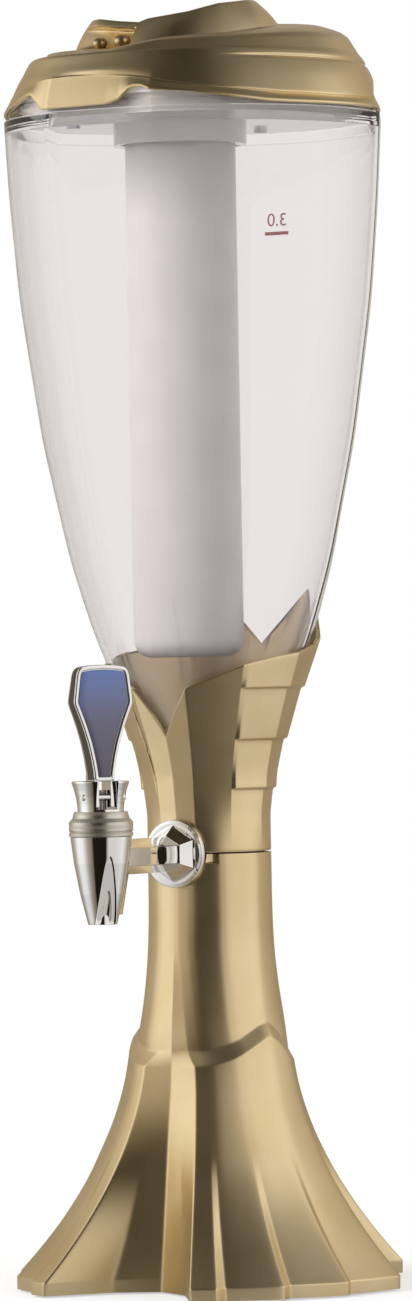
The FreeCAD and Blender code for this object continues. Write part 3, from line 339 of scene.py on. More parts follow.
def foot_grid(base, inset=0.0, passes=5):
    """The foot's surface, one row for each base height and one column for each place round it.

    A row is three folds, each two bowed walls that meet in a crease, and three lobes whose radius is
    the flare's less the flutes' depth.  Near the shoulder a row climbs by a sine over each lobe.
    Corners round the row are eased by averaging each point with its neighbours, in this many passes.
    """
    base = base[:, None]
    over = np.clip((base - STEP_Z_FOLD + STEP_HEIGHT) / STEP_HEIGHT, 0, 1)
    climb = (STEP_Z_LOBE - STEP_Z_FOLD) * np.clip((base - CLIMB_FROM_Z) / CLIMB_IN, 0, 1)
    climb = climb * np.clip((APEX_Z - base) / CLIMB_OUT, 0, 1)
    share_under = np.clip((base - RIM_Z) / (STEP_Z_FOLD - RIM_Z), 0, 1)
    share_over = np.clip((base - STEP_Z_FOLD) / (APEX_Z - STEP_Z_FOLD), 0, 1)
    under_half = FOLD_HALF_RIM - (FOLD_HALF_RIM - FOLD_HALF_STEP) * share_under
    over_half = FOLD_HALF_OVER - (FOLD_HALF_OVER - FOLD_HALF_APEX) * share_over
    half = under_half + (over_half - under_half) * over
    flute = np.clip(1 - (base - BAND_TOP_Z) / (FLUTE_TOP_Z - BAND_TOP_Z), 0, 1) ** 1.2
    flute = np.where(base < BAND_TOP_Z, 1.0, flute)
    lean = -FOLD_LEAN * np.clip((base - LEAN_FROM_Z) / (APEX_Z - LEAN_FROM_Z), 0, 1)

    def radius(z):
        return foot_radius_under(z) + (foot_radius_over(z) - foot_radius_under(z)) * over

    crease_under = CREASE_RIM_R - CREASE_CLOSES * share_under
    crease_over = CREASE_OVER_R + (foot_radius_over(APEX_Z) - CREASE_OVER_R) * share_over
    blend = np.clip((base - CREASE_BLEND_Z) / CREASE_BLEND, 0, 1)
    crease = crease_under + (crease_over - crease_under) * blend ** 2 * (3 - 2 * blend)
    crease = np.where(base > APEX_Z, radius(base), crease) - inset
    # places along each stretch, crowded at its ends so that the corners stay crisp
    edge_share = np.array([0.0, 0.035, 0.07, 0.105, 0.14, 0.22, 0.5, 0.78, 0.86, 0.895, 0.93, 0.965])
    pieces = []
    for fold, lobe in LOBES.items():
        skew = SKEWS[fold]
        centre = polar(crease, fold + lean, base)
        bow = polar(FOLD_BOW * flute, fold, 0.0 * base)
        low = polar(radius(base) - inset, fold - half + lean, base)
        high = polar(radius(base) - inset, fold + half + lean, base)
        corners = (low, (low + centre) / 2 - bow, centre, (high + centre) / 2 - bow, high)
        for start, end in zip(corners, corners[1:]):
            pieces.append(start + (end - start) * edge_share[None, :, None])
        for (share, depth), (next_share, next_depth) in zip(lobe, lobe[1:]):
            along = share + (next_share - share) * edge_share[None, :]
            deep = depth + (next_depth - depth) * edge_share[None, :]
            if inset:
                deep = deep * 0 + LINING_FLUTE
            z = base + climb * np.sin(math.pi * skew(along))
            azimuth = fold + lean + half + (120.0 - 2 * half) * along
            pieces.append(polar(radius(z) - inset - deep * flute, azimuth, z))
    grid = np.concatenate(pieces, axis=1)
    for _ in range(passes):
        grid = (np.roll(grid, 1, axis=1) + 2 * grid + np.roll(grid, -1, axis=1)) / 4
    return grid


def soften_rows(grid, passes=2):
    """Rounds a grid across its rows: each row is averaged with the two next to it."""
    for _ in range(passes):
        grid = np.concatenate([grid[:1], (grid[:-2] + 2 * grid[1:-1] + grid[2:]) / 4, grid[-1:]])
    return grid


SATIN_GOLD = satin_gold()
foot_rows = np.concatenate([     # close together at the rim's band, the shoulder and the notch
    [0.8, 1.0, 1.4, 2.2, 3.6, 5.0, 5.6, 6.0, 6.3, 6.5, 6.7, 7.0, 7.5, 8.2, 9.5],
    np.arange(11.0, 95.0, 2.0),
    [95.5, 97.0, 98.2, 99.2, 99.8, 100.2, 100.5, 100.9, 101.5, 103.0, 105.0, 106.0, 106.6, 107.0, 107.4,
     108.0, 108.8, 110.0],
    np.arange(112.0, 189.0, 2.5),
    [189.5, 190.0, 190.4, 190.7, 191.0, 191.6, 192.6, 193.6, 194.2, PARTING_Z - PARTING_GAP]])
outside = soften_rows(foot_grid(foot_rows))
off_notch = np.degrees(np.arctan2(outside[..., 0], -outside[..., 1])) - NOTCH_AZIMUTH
sunk = (np.clip((NOTCH_HALF - np.abs(off_notch)) / NOTCH_EDGE_ANGLE, 0, 1)
        * np.clip((outside[..., 2] * 1000 - PARTING_Z + NOTCH_HEIGHT) / NOTCH_EDGE, 0, 1))
outside[..., :2] *= (1 - NOTCH_DEPTH / COLUMN_R * sunk)[..., None]
inside = foot_grid(np.array([194.6, 170.0, 150.0, 107.0, 98.0, 62.0, 30.0, 12.0, 0.9]), inset=FOOT_WALL)
foot = surface("foot_shell_skin", SATIN_GOLD, np.concatenate([outside, inside, outside[:1]]))
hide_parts("foot_shell")
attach(foot, "tower")


# ---------------------------------------------------------------- under the foot
# A black moulded plate closes the foot and is held by three screws.  A rubber ring in its groove
# stands on the table, and an iron ring inside the foot keeps the full tower from tipping.
def plain_plastic(name, colour, roughness, grain_mm, relief):
    """Moulded plastic with a spark-eroded grain of this size, a little lighter on its high spots."""
    material, tree = new_material(name)
    place = add(tree, "TexCoord")
    grain = add(tree, "TexNoise", [("Vector", place.outputs["Object"])], Scale=1000.0 / grain_mm,
                Detail=3.0)
    shade = add(tree, "MapRange", [("Value", grain.outputs["Fac"])], To_Min=0.92, To_Max=1.06)
    tone = add(tree, "VectorMath", [(0, linear(colour)[:3]), (1, shade)], operation="MULTIPLY")
    bump = add(tree, "Bump", [("Height", grain.outputs["Fac"])], Strength=relief, Distance=0.0001)
    shader = add(tree, "BsdfPrincipled", [("Base Color", tone), ("Normal", bump)], Roughness=roughness)
    return finish_material(material, shader)


def soft_rubber(name, colour):
    """Moulded rubber: matt, slightly mottled, with a faint bloom on its surface."""
    material, tree = new_material(name)
    place = add(tree, "TexCoord")
    bloom = add(tree, "TexNoise", [("Vector", place.outputs["Object"])], Scale=350.0, Detail=5.0)
    tone = set_ramp(add(tree, "ValToRGB", [("Fac", bloom.outputs["Fac"])]),
                    ((0.35, colour), (0.75, "#3a3a3b")))
    bump = add(tree, "Bump", [("Height", bloom.outputs["Fac"])], Strength=0.15, Distance=0.0001)
    shader = add(tree, "BsdfPrincipled", [("Base Color", tone), ("Normal", bump)], Roughness=0.75)
    return finish_material(material, shader)


def turned_metal(name, colour, roughness, pitch_mm):
    """Machined metal: rings left by the tool at this pitch, in the roughness and in a slight relief."""
    material, tree = new_material(name)
    place = add(tree, "TexCoord")
    rings = add(tree, "TexWave", [("Vector", place.outputs["Object"])], Scale=1000.0 / pitch_mm / 20,
                bands_direction="Z", Distortion=0.6)
    dull = add(tree, "MapRange", [("Value", rings.outputs["Fac"])], To_Min=roughness * 0.8,
               To_Max=roughness * 1.25)
    bump = add(tree, "Bump", [("Height", rings.outputs["Fac"])], Strength=0.08, Distance=0.00005)
    shader = add(tree, "BsdfPrincipled", [("Roughness", dull), ("Normal", bump)],
                 Base_Color=linear(colour), Metallic=1.0)
    return finish_material(material, shader)


def dress(material, *nodes):
    """Gives CAD nodes this material in every slot."""
    for node in nodes:
        mesh = NODES[node].data
        mesh.materials.clear()
        mesh.materials.append(material)


BLACK_PLASTIC = plain_plastic("moulded_black_abs", "#1d1c1b", 0.48, 0.5, 0.2)
RUBBER = soft_rubber("moulded_nitrile_rubber", "#1b1b1c")
CAST_IRON = plain_plastic("painted_cast_iron", "#2b2b2d", 0.6, 1.6, 0.5)
SCREW_STEEL = turned_metal("zinc_plated_steel", "#c9cbd0", 0.3, 0.4)
dress(BLACK_PLASTIC, "bottom_cover", "coupling_sleeve")
dress(RUBBER, "rubber_foot_ring", "tank_seat", "outer_gasket", "inner_gasket", "stem_seal", "seat_plug")
dress(CAST_IRON, "ballast_disc")
dress(SCREW_STEEL, "cover_screws", "lid_screws")


# ---------------------------------------------------------------- tank
# One blow-moulded bottle of clear acrylic: a narrow neck that sits in the column, a belly that
# opens upwards between three flat facets, and a rebated mouth under the lid.
TANK_STATIONS = np.array(((172.0, 22.4), (212.0, 22.4), (228.0, 26.6), (245.0, 31.5), (270.0, 40.5),
                          (291.0, 49.4), (326.0, 60.2), (380.0, 71.8), (443.0, 81.0), (490.0, 85.0),
                          (524.0, 86.8)))       # (z, radius)
TANK_WALL, FACET_ANGLE = 2.5, 18.0
FACET_FROM_Z, FACET_FADE = 245.0, 108.0     # the facets start here and are quite flat this much higher


def facet_share(azimuth):
    """How far the flat facets cut in: the chord's distance over the radius, 1 beyond a facet's ends."""
    off = np.abs((azimuth + 60.0) % 120.0 - 60.0)
    cut = math.cos(math.radians(FACET_ANGLE)) / np.cos(np.radians(off))
    return np.where(off < FACET_ANGLE, cut, 1.0)


def tank_radius(z):
    """The tank's outer radius at a height, on straight lines between its stations."""
    return np.interp(z, TANK_STATIONS[:, 0], TANK_STATIONS[:, 1])


def tank_grid(profile, azimuth):
    """A profile of (radius, z) carried round the tower, pressed flat at the facets above the neck."""
    radius, z = profile[:, :1], profile[:, 1:2]
    flat = np.clip((z - FACET_FROM_Z) / FACET_FADE, 0, 1)
    share = 1 - flat * (1 - facet_share(azimuth)[None, :])
    return polar(radius * share, azimuth[None, :], z)


def clear_acrylic():
    """Clear moulded acrylic, 2.5 mm thick: colourless, faintly grey in depth, with a polished face."""
    material, tree = new_material("clear_acrylic")
    place = add(tree, "TexCoord")
    flow = add(tree, "TexNoise", [("Vector", place.outputs["Object"])], Scale=28.0, Detail=2.0)
    bump = add(tree, "Bump", [("Height", flow.outputs["Fac"])], Strength=0.05, Distance=0.001)
    slant = add(tree, "LayerWeight")
    depth = set_ramp(add(tree, "ValToRGB", [("Fac", slant.outputs["Facing"])]),
                     ((0.25, "#f4f1f0"), (0.85, "#dedad9")))
    shader = add(tree, "BsdfPrincipled", [("Base Color", depth), ("Normal", bump)],
                 Roughness=0.02, IOR=1.49, Transmission_Weight=1.0)
    through = add(tree, "BsdfTransparent", Color=linear("#f4f1f0"))
    ray = add(tree, "LightPath")
    mixed = add(tree, "MixShader", [(0, ray.outputs["Is Shadow Ray"]), (1, shader), (2, through)])
    return finish_material(material, mixed)


def smooth_stations(stations, low, high, count, passes=24):
    """Evenly spaced heights with their radii, the table's corners eased by averaging along the curve."""
    z = np.linspace(low, high, count)
    radius = np.interp(z, stations[:, 0], stations[:, 1])
    for _ in range(passes):
        radius[1:-1] = (radius[:-2] + 2 * radius[1:-1] + radius[2:]) / 4
    return np.column_stack([radius, z])


tank_azimuth = np.arange(0.0, 360.0, 2.0)
belly = smooth_stations(TANK_STATIONS, 174.0, 523.4, 150)
tank_outside = np.vstack([[[0.0, 172.0], [20.6, 172.0], [21.9, 172.6], [22.4, 173.4]], belly[1:],
                          [[86.8, 523.9], [86.5, 524.4], [85.8, 524.6], [84.0, 524.7], [83.6, 525.0],
                           [83.6, 530.2], [83.2, 530.8], [82.6, 531.0]]])
tank_inside = np.vstack([[[81.6, 531.0], [81.2, 530.6], [81.1, 524.0], [84.0, 518.0]],
                         (belly - [TANK_WALL, 0.0])[-3:2:-1],
                         [[19.8, 177.0], [18.8, 175.6], [0.0, 175.4]]])
CLEAR_ACRYLIC = clear_acrylic()
tank = surface("tank_wall", CLEAR_ACRYLIC,
               tank_grid(np.vstack([tank_outside, tank_inside]), tank_azimuth), sharp=40.0)
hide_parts("tank")
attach(tank, "tower")


# ---------------------------------------------------------------- collar
# The collar is a second lacquered shell that grips the tank: a V notch over the tap, stepped bands
# at its back and sides, and a rim that rises to two peaks behind.
RIM_POINTS = np.array(((0.0, 247.5), (19.0, 269.0), (36.0, 274.0), (53.0, 279.0), (76.0, 282.5),
                       (99.0, 285.0), (121.0, 288.0), (137.0, 299.0), (153.0, 312.0), (180.0, 288.0)))
RIM_SPAN = 84.0             # the bands' lines are given for a rim this far over the parting line
BAND_LINES = (223.0, 245.0, 268.0)
BAND_START, BAND_FADE, BAND_PROUD, BAND_EDGE = 53.0, 3.0, 1.5, 0.8
FRONT_CREASE = 19.0
COLLAR_WALL, COLLAR_OFF_TANK = 2.2, 2.8
TAPER, TAPER_FROM_Z = 0.12, 212.0
PANELS = np.array((0.0, FRONT_CREASE, 53.0, 90.0, 125.0, 153.0, 180.0))   # creases between flat panels
PANEL_FLAT, PANEL_FROM_Z, PANEL_FADE = 0.85, 197.0, 26.0      # how flat, and where that sets in
SLIT_LOW, SLIT_HIGH = (-20.5, 223.0), (-28.0, 263.0)      # ends of the slanting slit, (azimuth, z)
SLIT_HALF, SLIT_DEPTH, SLIT_EDGE, SLIT_ENDS = 0.9, 1.2, 0.35, 6


def collar_plain_radius(z):
    """The tank's radius plus a gap and the wall, or the column's slight taper where that is wider."""
    return np.maximum(tank_radius(z) + COLLAR_OFF_TANK, COLUMN_R + TAPER * np.maximum(0.0, z - TAPER_FROM_Z))


def collar_rim(azimuth):
    """The rim's height, the same to the left and to the right of the tap."""
    return np.interp(np.abs(azimuth), RIM_POINTS[:, 0], RIM_POINTS[:, 1])


def collar_height(line, azimuth):
    """A line's height: it dips in proportion where the rim over it is low."""
    return np.minimum(line, PARTING_Z + (line - PARTING_Z) / RIM_SPAN * (collar_rim(azimuth) - PARTING_Z))


def collar_row(line, proud, azimuth, inset=0.0, rim_share=0.0):
    """One row: its height follows the line or a share of the way to the rim, and bands stand proud."""
    off = np.abs(azimuth)
    z = collar_height(line, azimuth)
    z = z + (collar_rim(azimuth) - z) * rim_share + BAND_EDGE * proud
    banded = np.clip((off - BAND_START) / BAND_FADE, 0, 1)
    radius = collar_plain_radius(z) + BAND_PROUD * proud * banded - inset
    panel = np.clip(np.searchsorted(PANELS, off, side="right"), 1, len(PANELS) - 1)
    middle, half = (PANELS[panel] + PANELS[panel - 1]) / 2, (PANELS[panel] - PANELS[panel - 1]) / 2
    chord = np.cos(np.radians(half)) / np.cos(np.radians(off - middle))
    fading = PANEL_FLAT * np.clip((z - PANEL_FROM_Z) / PANEL_FADE, 0, 1)
    flat = np.where(off < FRONT_CREASE, 1.0, fading) * (inset < COLLAR_WALL)
    radius = radius * (1 - flat * (1 - chord))
    along = (z - SLIT_LOW[1]) / (SLIT_HIGH[1] - SLIT_LOW[1])
    across = (azimuth - (SLIT_LOW[0] + (SLIT_HIGH[0] - SLIT_LOW[0]) * along)) * math.pi / 180 * radius
    ends = np.clip(along * SLIT_ENDS, 0, 1) * np.clip((1 - along) * SLIT_ENDS, 0, 1)
    groove = np.clip((SLIT_HALF * ends - np.abs(across)) / SLIT_EDGE, 0, 1)
    return polar(radius - SLIT_DEPTH * groove * (inset == 0.0), azimuth, z)


collar_azimuth = np.unique(np.concatenate([np.arange(-180.0, 180.0, 1.0), np.arange(-54.0, -18.0, 0.4),
                                           [-53.5, -52.5, 52.5, 53.5]]))
rows = [collar_row(PARTING_Z + PARTING_GAP, 0.0, collar_azimuth, inset=0.4)]
rows += [collar_row(line, 0.0, collar_azimuth)
         for line in np.concatenate([[195.7, 196.4], np.arange(198, 222, 2.0)])]
for line, following in zip(BAND_LINES, BAND_LINES[1:] + (None,)):
    rows += [collar_row(line, proud, collar_azimuth) for proud in (0.0, 0.12, 0.3, 0.6, 0.85, 0.97)]
    shares = np.array([0.02, 0.06, 0.12, 0.25, 0.4, 0.55, 0.7, 0.82, 0.9])
    if following:
        rows += [collar_row(line + BAND_EDGE * share + (following - line - BAND_EDGE) * share,
                            1 - share, collar_azimuth) for share in shares]
    else:
        rows += [collar_row(line, 1 - share, collar_azimuth, rim_share=share) for share in shares]
rows += [collar_row(BAND_LINES[-1], 0.0, collar_azimuth, inset=inset, rim_share=share)
         for inset, share in ((0.0, 0.95), (0.05, 0.975), (0.35, 0.995), (0.8, 1.0), (1.6, 1.0),
                              (2.1, 0.99))]
collar_outside = soften_rows(np.array(rows), 1)
collar_inside = np.array([collar_row(BAND_LINES[-1], 0.0, collar_azimuth, inset=COLLAR_WALL, rim_share=share)
                          for share in (0.95, 0.5, 0.0)] +
                         [collar_row(line, 0.0, collar_azimuth, inset=COLLAR_WALL)
                          for line in (255.0, 245.0, 235.0, 223.0, 212.0, 195.4)])
collar = surface("collar_skin", SATIN_GOLD,
                 np.concatenate([collar_outside, collar_inside, collar_outside[:1]]))
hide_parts("collar_shell")
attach(collar, "tower")


# ---------------------------------------------------------------- ice tube
# A frosted polypropylene beaker hangs in the tank from the lid's bayonet socket and holds ice; two
# lugs at its rim turn onto the socket's ledges, and a clear ring seals it.
ICE_Y, ICE_R, ICE_WALL = -14.0, 24.5, 2.0
ICE_CORNER, ICE_CORNER_Z = 8.0, 291.0       # the rounding at its foot, and where that ends
LUG_ARC = 20.0              # degrees each way from a lug's middle


def rounded(profile, fillet=0.5, passes=5):
    """A polyline of (radius, z) with eased corners.

    Points crowd within one fillet of each corner, and are then averaged with their neighbours; a
    profile that ends where it starts is eased there as well.
    """
    profile = np.asarray(profile, dtype=float)
    start, run = profile[:-1], np.diff(profile, axis=0)
    near = np.minimum(fillet / np.linalg.norm(run, axis=1), 0.45)[:, None]
    low = near * np.linspace(0.0, 1.0, 6)
    shares = np.hstack([low, (1 - low[:, ::-1])[:, :-1]])
    points = (start[:, None] + run[:, None] * shares[..., None]).reshape(-1, profile.shape[1])
    closed = np.allclose(profile[0], profile[-1])
    if not closed:
        points = np.vstack([points, profile[-1:]])
    for _ in range(passes):
        eased = (np.roll(points, 1, axis=0) + 2 * points + np.roll(points, -1, axis=0)) / 4
        if not closed:
            eased[0], eased[-1] = points[0], points[-1]
        points = eased
    return np.vstack([points, points[:1]]) if closed else points


def capped(grid):
    """A grid closed at both ends: a row gathered at the first row's middle, and one at the last's."""
    middles = grid.mean(axis=1, keepdims=True).repeat(grid.shape[1], axis=1)
    return np.concatenate([middles[:1], grid, middles[-1:]])


def shifted(grid, x=0.0, y=0.0):
    """A grid moved sideways, in millimetres."""
    return grid + np.array([x, y, 0.0]) / 1000.0


def frosted_plastic():
    """Frosted polypropylene: light comes through scattered, a little grey, with a satin face."""
    material, tree = new_material("frosted_polypropylene")
    place = add(tree, "TexCoord")
    haze = add(tree, "TexNoise", [("Vector", place.outputs["Object"])], Scale=60.0, Detail=3.0)
    tone = set_ramp(add(tree, "ValToRGB", [("Fac", haze.outputs["Fac"])]),
                    ((0.3, "#f0eeee"), (0.7, "#f6f4f4")))
    bump = add(tree, "Bump", [("Height", haze.outputs["Fac"])], Strength=0.05, Distance=0.0005)
    shader = add(tree, "BsdfPrincipled", [("Base Color", tone), ("Normal", bump)],
                 Roughness=0.35, IOR=1.45, Transmission_Weight=0.2)
    through = add(tree, "BsdfTransparent", Color=linear("#dddcdc"))
    ray = add(tree, "LightPath")
    mixed = add(tree, "MixShader", [(0, ray.outputs["Is Shadow Ray"]), (1, shader), (2, through)])
    return finish_material(material, mixed)


turn = np.radians(np.linspace(0.0, 90.0, 9))
beaker = np.vstack([[[0.0, 283.0]],
                    np.column_stack([ICE_R - ICE_CORNER + ICE_CORNER * np.sin(turn),
                                     ICE_CORNER_Z - ICE_CORNER * np.cos(turn)]),
                    np.column_stack([np.full(12, ICE_R), np.linspace(300.0, 520.0, 12)]),
                    [[24.4, 521.0], [24.1, 521.2], [22.9, 521.2], [22.5, 520.9]],
                    np.column_stack([np.full(12, ICE_R - ICE_WALL), np.linspace(519.0, 300.0, 12)]),
                    np.column_stack([ICE_R - ICE_CORNER + (ICE_CORNER - ICE_WALL) * np.sin(turn[::-1]),
                                     ICE_CORNER_Z - (ICE_CORNER - ICE_WALL) * np.cos(turn[::-1])]),
                    [[0.0, 285.0]]])
FROSTED = frosted_plastic()
lugs = []
for middle in (0.0, 180.0):
    lug = rounded([(23.6, 517.2), (27.1, 517.2), (27.1, 520.2), (23.6, 520.2), (23.6, 517.2)], 0.4)
    arc = np.linspace(-LUG_ARC, LUG_ARC, 15)
    sections = polar(lug[:, :1], middle + arc[None, :], lug[:, 1:2]).transpose(1, 0, 2)
    lugs.append(capped(sections)[:, :-1])
ice_tube = surface("ice_tube_wall", FROSTED, shifted(turned(beaker, 96), y=ICE_Y),
                   *[shifted(lug, y=ICE_Y) for lug in lugs])
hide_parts("ice_tube")
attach(ice_tube, "ice_tube")

CLEAR_RUBBER = plain_plastic("translucent_silicone", "#d8d6d0", 0.35, 0.8, 0.1)
WHITE_PLASTIC = plain_plastic("moulded_white_polypropylene", "#f1efec", 0.09, 0.6, 0.01)
dress(CLEAR_RUBBER, "ice_tube_gasket", "lid_seal")
dress(WHITE_PLASTIC, "lid_liner")


# ---------------------------------------------------------------- lid
# The lid is a lacquered shell over a white liner that plugs the tank's mouth.  Its skirt has a
# notched edge, and its top winds up in layers to a swirl with a small open pocket at its start.
SWIRL_AZIMUTH = 122.0       # where the swirl is highest
SKIRT_R, BAND_IN_R, BAND_OUT_R = 86.8, 83.9, 86.4
BAND_MIN_HEIGHT = 3.8
POCKET_DEPTH, CREST_SWELL = 9.0, 0.9
FLANK = np.array(((528.0, 85.5), (540.0, 80.4), (545.4, 77.2), (551.0, 74.2), (556.0, 71.4), (560.5, 69.0)))
FLANK_FLAT_TOP, FLANK_FLAT_FADE = 542.0, 9.0    # the facets end here, and fade over this much
lid_azimuth = np.unique(np.concatenate([np.arange(-180.0, 180.0, 1.5), np.arange(-62.0, 24.0, 0.5)]))


def periodic(table, azimuth, period=360.0):
    """Straight-line reading of a table of (azimuth, value) that repeats."""
    table = np.asarray(table, dtype=float)
    return np.interp(azimuth, table[:, 0], table[:, 1], period=period)


def flank_radius(z, facet):
    """The lid's side leans in as it rises; its flat facets die out upwards."""
    radius = np.interp(z, FLANK[:, 0], FLANK[:, 1])
    return radius * (1 - (1 - facet) * np.clip((FLANK_FLAT_TOP - z) / FLANK_FLAT_FADE, 0, 1))


def lid_rows(azimuth):
    """The lid as rows from the skirt's edge over the top to the middle, and back down its inside.

    Each row is a radius and a height by azimuth: the skirt band, the overhanging flank with its
    groove, two terraces on the low side, the deck, and the swirl's wall with the pocket in it.
    """
    high = np.cos(np.radians(azimuth - SWIRL_AZIMUTH))
    facet = facet_share(azimuth)
    edge = periodic(((-46, 527.6), (-36, 529.8), (-29, 532.6), (-26, 532.6), (-20.5, 525.9), (3, 526.4),
                     (7.5, 528.0), (11, 532.2), (13, 533.2), (15.5, 533.2), (18, 531.6), (30, 530.2),
                     (45, 527.4), (53, 526.1), (62, 525.7), (110, 525.8)), azimuth, 180.0)
    band_top = periodic(((-58, 532.0), (-33, 538.0), (-21, 539.7), (-12, 540.1), (0, 539.8), (10, 538.6),
                         (18, 536.8), (27, 534.5), (35, 533.2), (45, 531.9), (58, 530.2), (77, 529.8),
                         (101, 530.4)), azimuth, 180.0)
    band_top = np.maximum(band_top, edge + BAND_MIN_HEIGHT)
    shoulder_r = periodic(((-58, 66.6), (-12, 69.5), (90, 69.5), (122, 68.5), (200, 68.0)), azimuth)
    shoulder_z = periodic(((-58, 554.2), (-30, 553.0), (-14, 551.9), (-7, 550.9), (2, 552.2), (18, 554.6),
                           (36, 555.5), (52, 555.9), (94, 558.2), (122, 560.3), (180, 559.0), (240, 556.0)),
                          azimuth)
    deck_rise = periodic(((-58, 0.4), (0, 2.0), (40, 3.0), (80, 5.4), (122, 6.6), (200, 5.0), (260, 1.5)),
                         azimuth)
    crest_z = periodic(((-58, 570.0), (-40, 569.2), (-20, 567.0), (-5, 565.8), (1, 567.2), (15, 568.6),
                        (27, 570.0), (40, 572.2), (50, 573.8), (66, 575.0), (85, 576.4), (100, 576.9),
                        (122, 576.4), (150, 575.6), (180, 574.0), (240, 571.5)), azimuth)
    terrace = np.clip((azimuth + 130.0) / 30.0, 0, 1) * np.clip((-14.0 - azimuth) / 30.0, 0, 1)
    groove = np.clip((azimuth - 38.0) / 22.0, 0, 1) * np.clip((178.0 - azimuth) / 40.0, 0, 1)
    pocket = np.clip((azimuth + 56.0) / 26.0, 0, 1) * np.clip((-3.5 - azimuth) / 2.0, 0, 1)
    base_r, base_z = 45.8 - 8.7 * high, shoulder_z + deck_rise
    crest_r = 37.0 - 9.0 * high
    edge_r = SKIRT_R * facet
    band_r = np.clip(flank_radius(band_top, facet) - 0.7, BAND_IN_R * facet, BAND_OUT_R * facet)
    rows = [(edge_r - 1.6, edge), (edge_r - 0.3, edge), (edge_r, edge + 0.4), (edge_r, edge + 1.2),
            ((edge_r + band_r) / 2 + 0.3, (edge + band_top) / 2), (band_r, band_top - 0.4),
            (band_r + 0.1, band_top), (flank_radius(band_top, facet) + 0.3, band_top + 0.2)]
    for share in (0.1, 0.35, 0.7, 1.0):
        z = band_top + 0.4 + (544.8 - band_top) * share
        rows.append((flank_radius(z, facet) + 0.4, z))
    rows += [(flank_radius(z, facet) + 0.4 - depth * groove, z)
             for z, depth in ((545.8, 0.1), (546.4, 0.6), (547.2, 0.8), (547.8, -0.1), (548.8, -0.2),
                              (550.2, 0.0))]
    for share, r, z in ((0.12, 73.9, 551.1), (0.25, 73.2, 551.5), (0.6, 69.3, 551.6), (0.8, 68.5, 552.0),
                        (0.95, 66.9, 553.8)):
        plain_r, plain_z = 74.4 + (shoulder_r - 74.4) * share, 550.5 + (shoulder_z - 550.5) * share
        rows.append((plain_r + (r - plain_r) * terrace, plain_z + (z - plain_z) * terrace))
    for share, up in ((0.015, 0.03), (0.04, 0.1), (0.1, 0.34), (0.27, 0.62), (0.45, 0.89), (0.78, 1.0),
                      (0.96, 1.0), (1.0, 1.02)):
        rows.append((shoulder_r + (base_r - shoulder_r) * share, shoulder_z + deck_rise * up))
    for share, dent in ((0.06, 0.0), (0.1, 0.8), (0.16, 1.0), (0.40, 1.0), (0.62, 1.0), (0.68, 0.9),
                        (0.74, 0.0), (0.88, 0.0), (0.96, 0.0)):
        swell = CREST_SWELL * math.sin(math.pi * share)
        rows.append((base_r + (crest_r - base_r) * share + swell - POCKET_DEPTH * dent * pocket,
                     base_z + (crest_z - base_z) * share))
    rows += [(crest_r - 0.6, crest_z), (crest_r - 2.2, crest_z), (crest_r - 4.5, crest_z - 0.8),
             (crest_r * 0.7, (crest_z + 566.0) / 2), (crest_r * 0.4, 566.2), (crest_r * 0.12, 565.6),
             (0.0, 565.6)]
    inside = [(0.0, 560.0), (8.0, 560.0), (crest_r - 6, base_z - 3.2), (base_r - 4, base_z - 4),
              (shoulder_r - 5, shoulder_z - 4), (71.0, 546.0), (band_r - 2.2, band_top - 0.6),
              (edge_r - 2.4, edge + 0.4)]
    nought = 0.0 * azimuth
    return [np.array([[r + nought, z + nought] for r, z in part]) for part in (rows, inside)]


def refine(rows, times=3):
    """Puts extra rows between rows along a straight line, then eases the corners they leave."""
    shares = np.arange(times) / times
    parts = rows[:-1, None] + (rows[1:] - rows[:-1])[:, None] * shares[None, :, None, None]
    return soften_rows(np.concatenate([parts.reshape(-1, *rows.shape[1:]), rows[-1:]]), 2)


outside_rows, inside_rows = lid_rows(lid_azimuth)
outside_rows = refine(outside_rows)
lid_outside = polar(outside_rows[:, 0], lid_azimuth[None, :], outside_rows[:, 1])
lid_inside = polar(inside_rows[:, 0], lid_azimuth[None, :], inside_rows[:, 1])
bumps = []          # two flattened balls in the pocket's mouth
for azimuth, radius, z, wide in ((-29.5, 48.5, 557.4, 3.5), (-12.5, 46.5, 557.4, 3.9)):
    swell = np.radians(np.linspace(-90.0, 90.0, 17))[:, None]
    round_it = np.radians(np.arange(0.0, 360.0, 15.0))[None, :]
    along, out = np.cos(swell) * np.sin(round_it), np.cos(swell) * np.cos(round_it)
    turn = math.radians(azimuth)
    x = wide * along * math.cos(turn) + wide * out * math.sin(turn)
    y = wide * along * math.sin(turn) - wide * out * math.cos(turn)
    ball = np.stack([x, y, 0.75 * wide * np.sin(swell) + 0.0 * round_it], axis=-1) / 1000.0
    bumps.append(ball + polar(radius, azimuth, z))
lid = surface("lid_skin", SATIN_GOLD, lid_outside, np.concatenate([lid_inside, lid_outside[:1]]), *bumps)
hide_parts("lid_shell")
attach(lid, "lid")


# ---------------------------------------------------------------- tap
# The tap is die-cast brass under bright chrome: a tapering body with a pointed arch in its front,
# a web and a shank behind, and a stepped flange that clamps it to the column.
TAP_Y, LEVER_TURN = -89.5, 50.0
BODY_LOW_Z, BODY_HIGH_Z = 166.0, 204.6
BODY_CONE = np.array(((BODY_LOW_Z, 6.4), (179.5, 9.7), (193.0, 12.2), (BODY_HIGH_Z, 13.6)))     # (z, radius)
ARCHES = ((5.0, 196.0, 30.0), (3.2, 181.0, 16.0))       # half width, tip's height, height of the arch
ARCH_EDGE, ARCH_SUNK = 0.3, 0.35
WEB_HALF = 4.5
HEX_R, HEX_EDGE = 7.9, 0.7


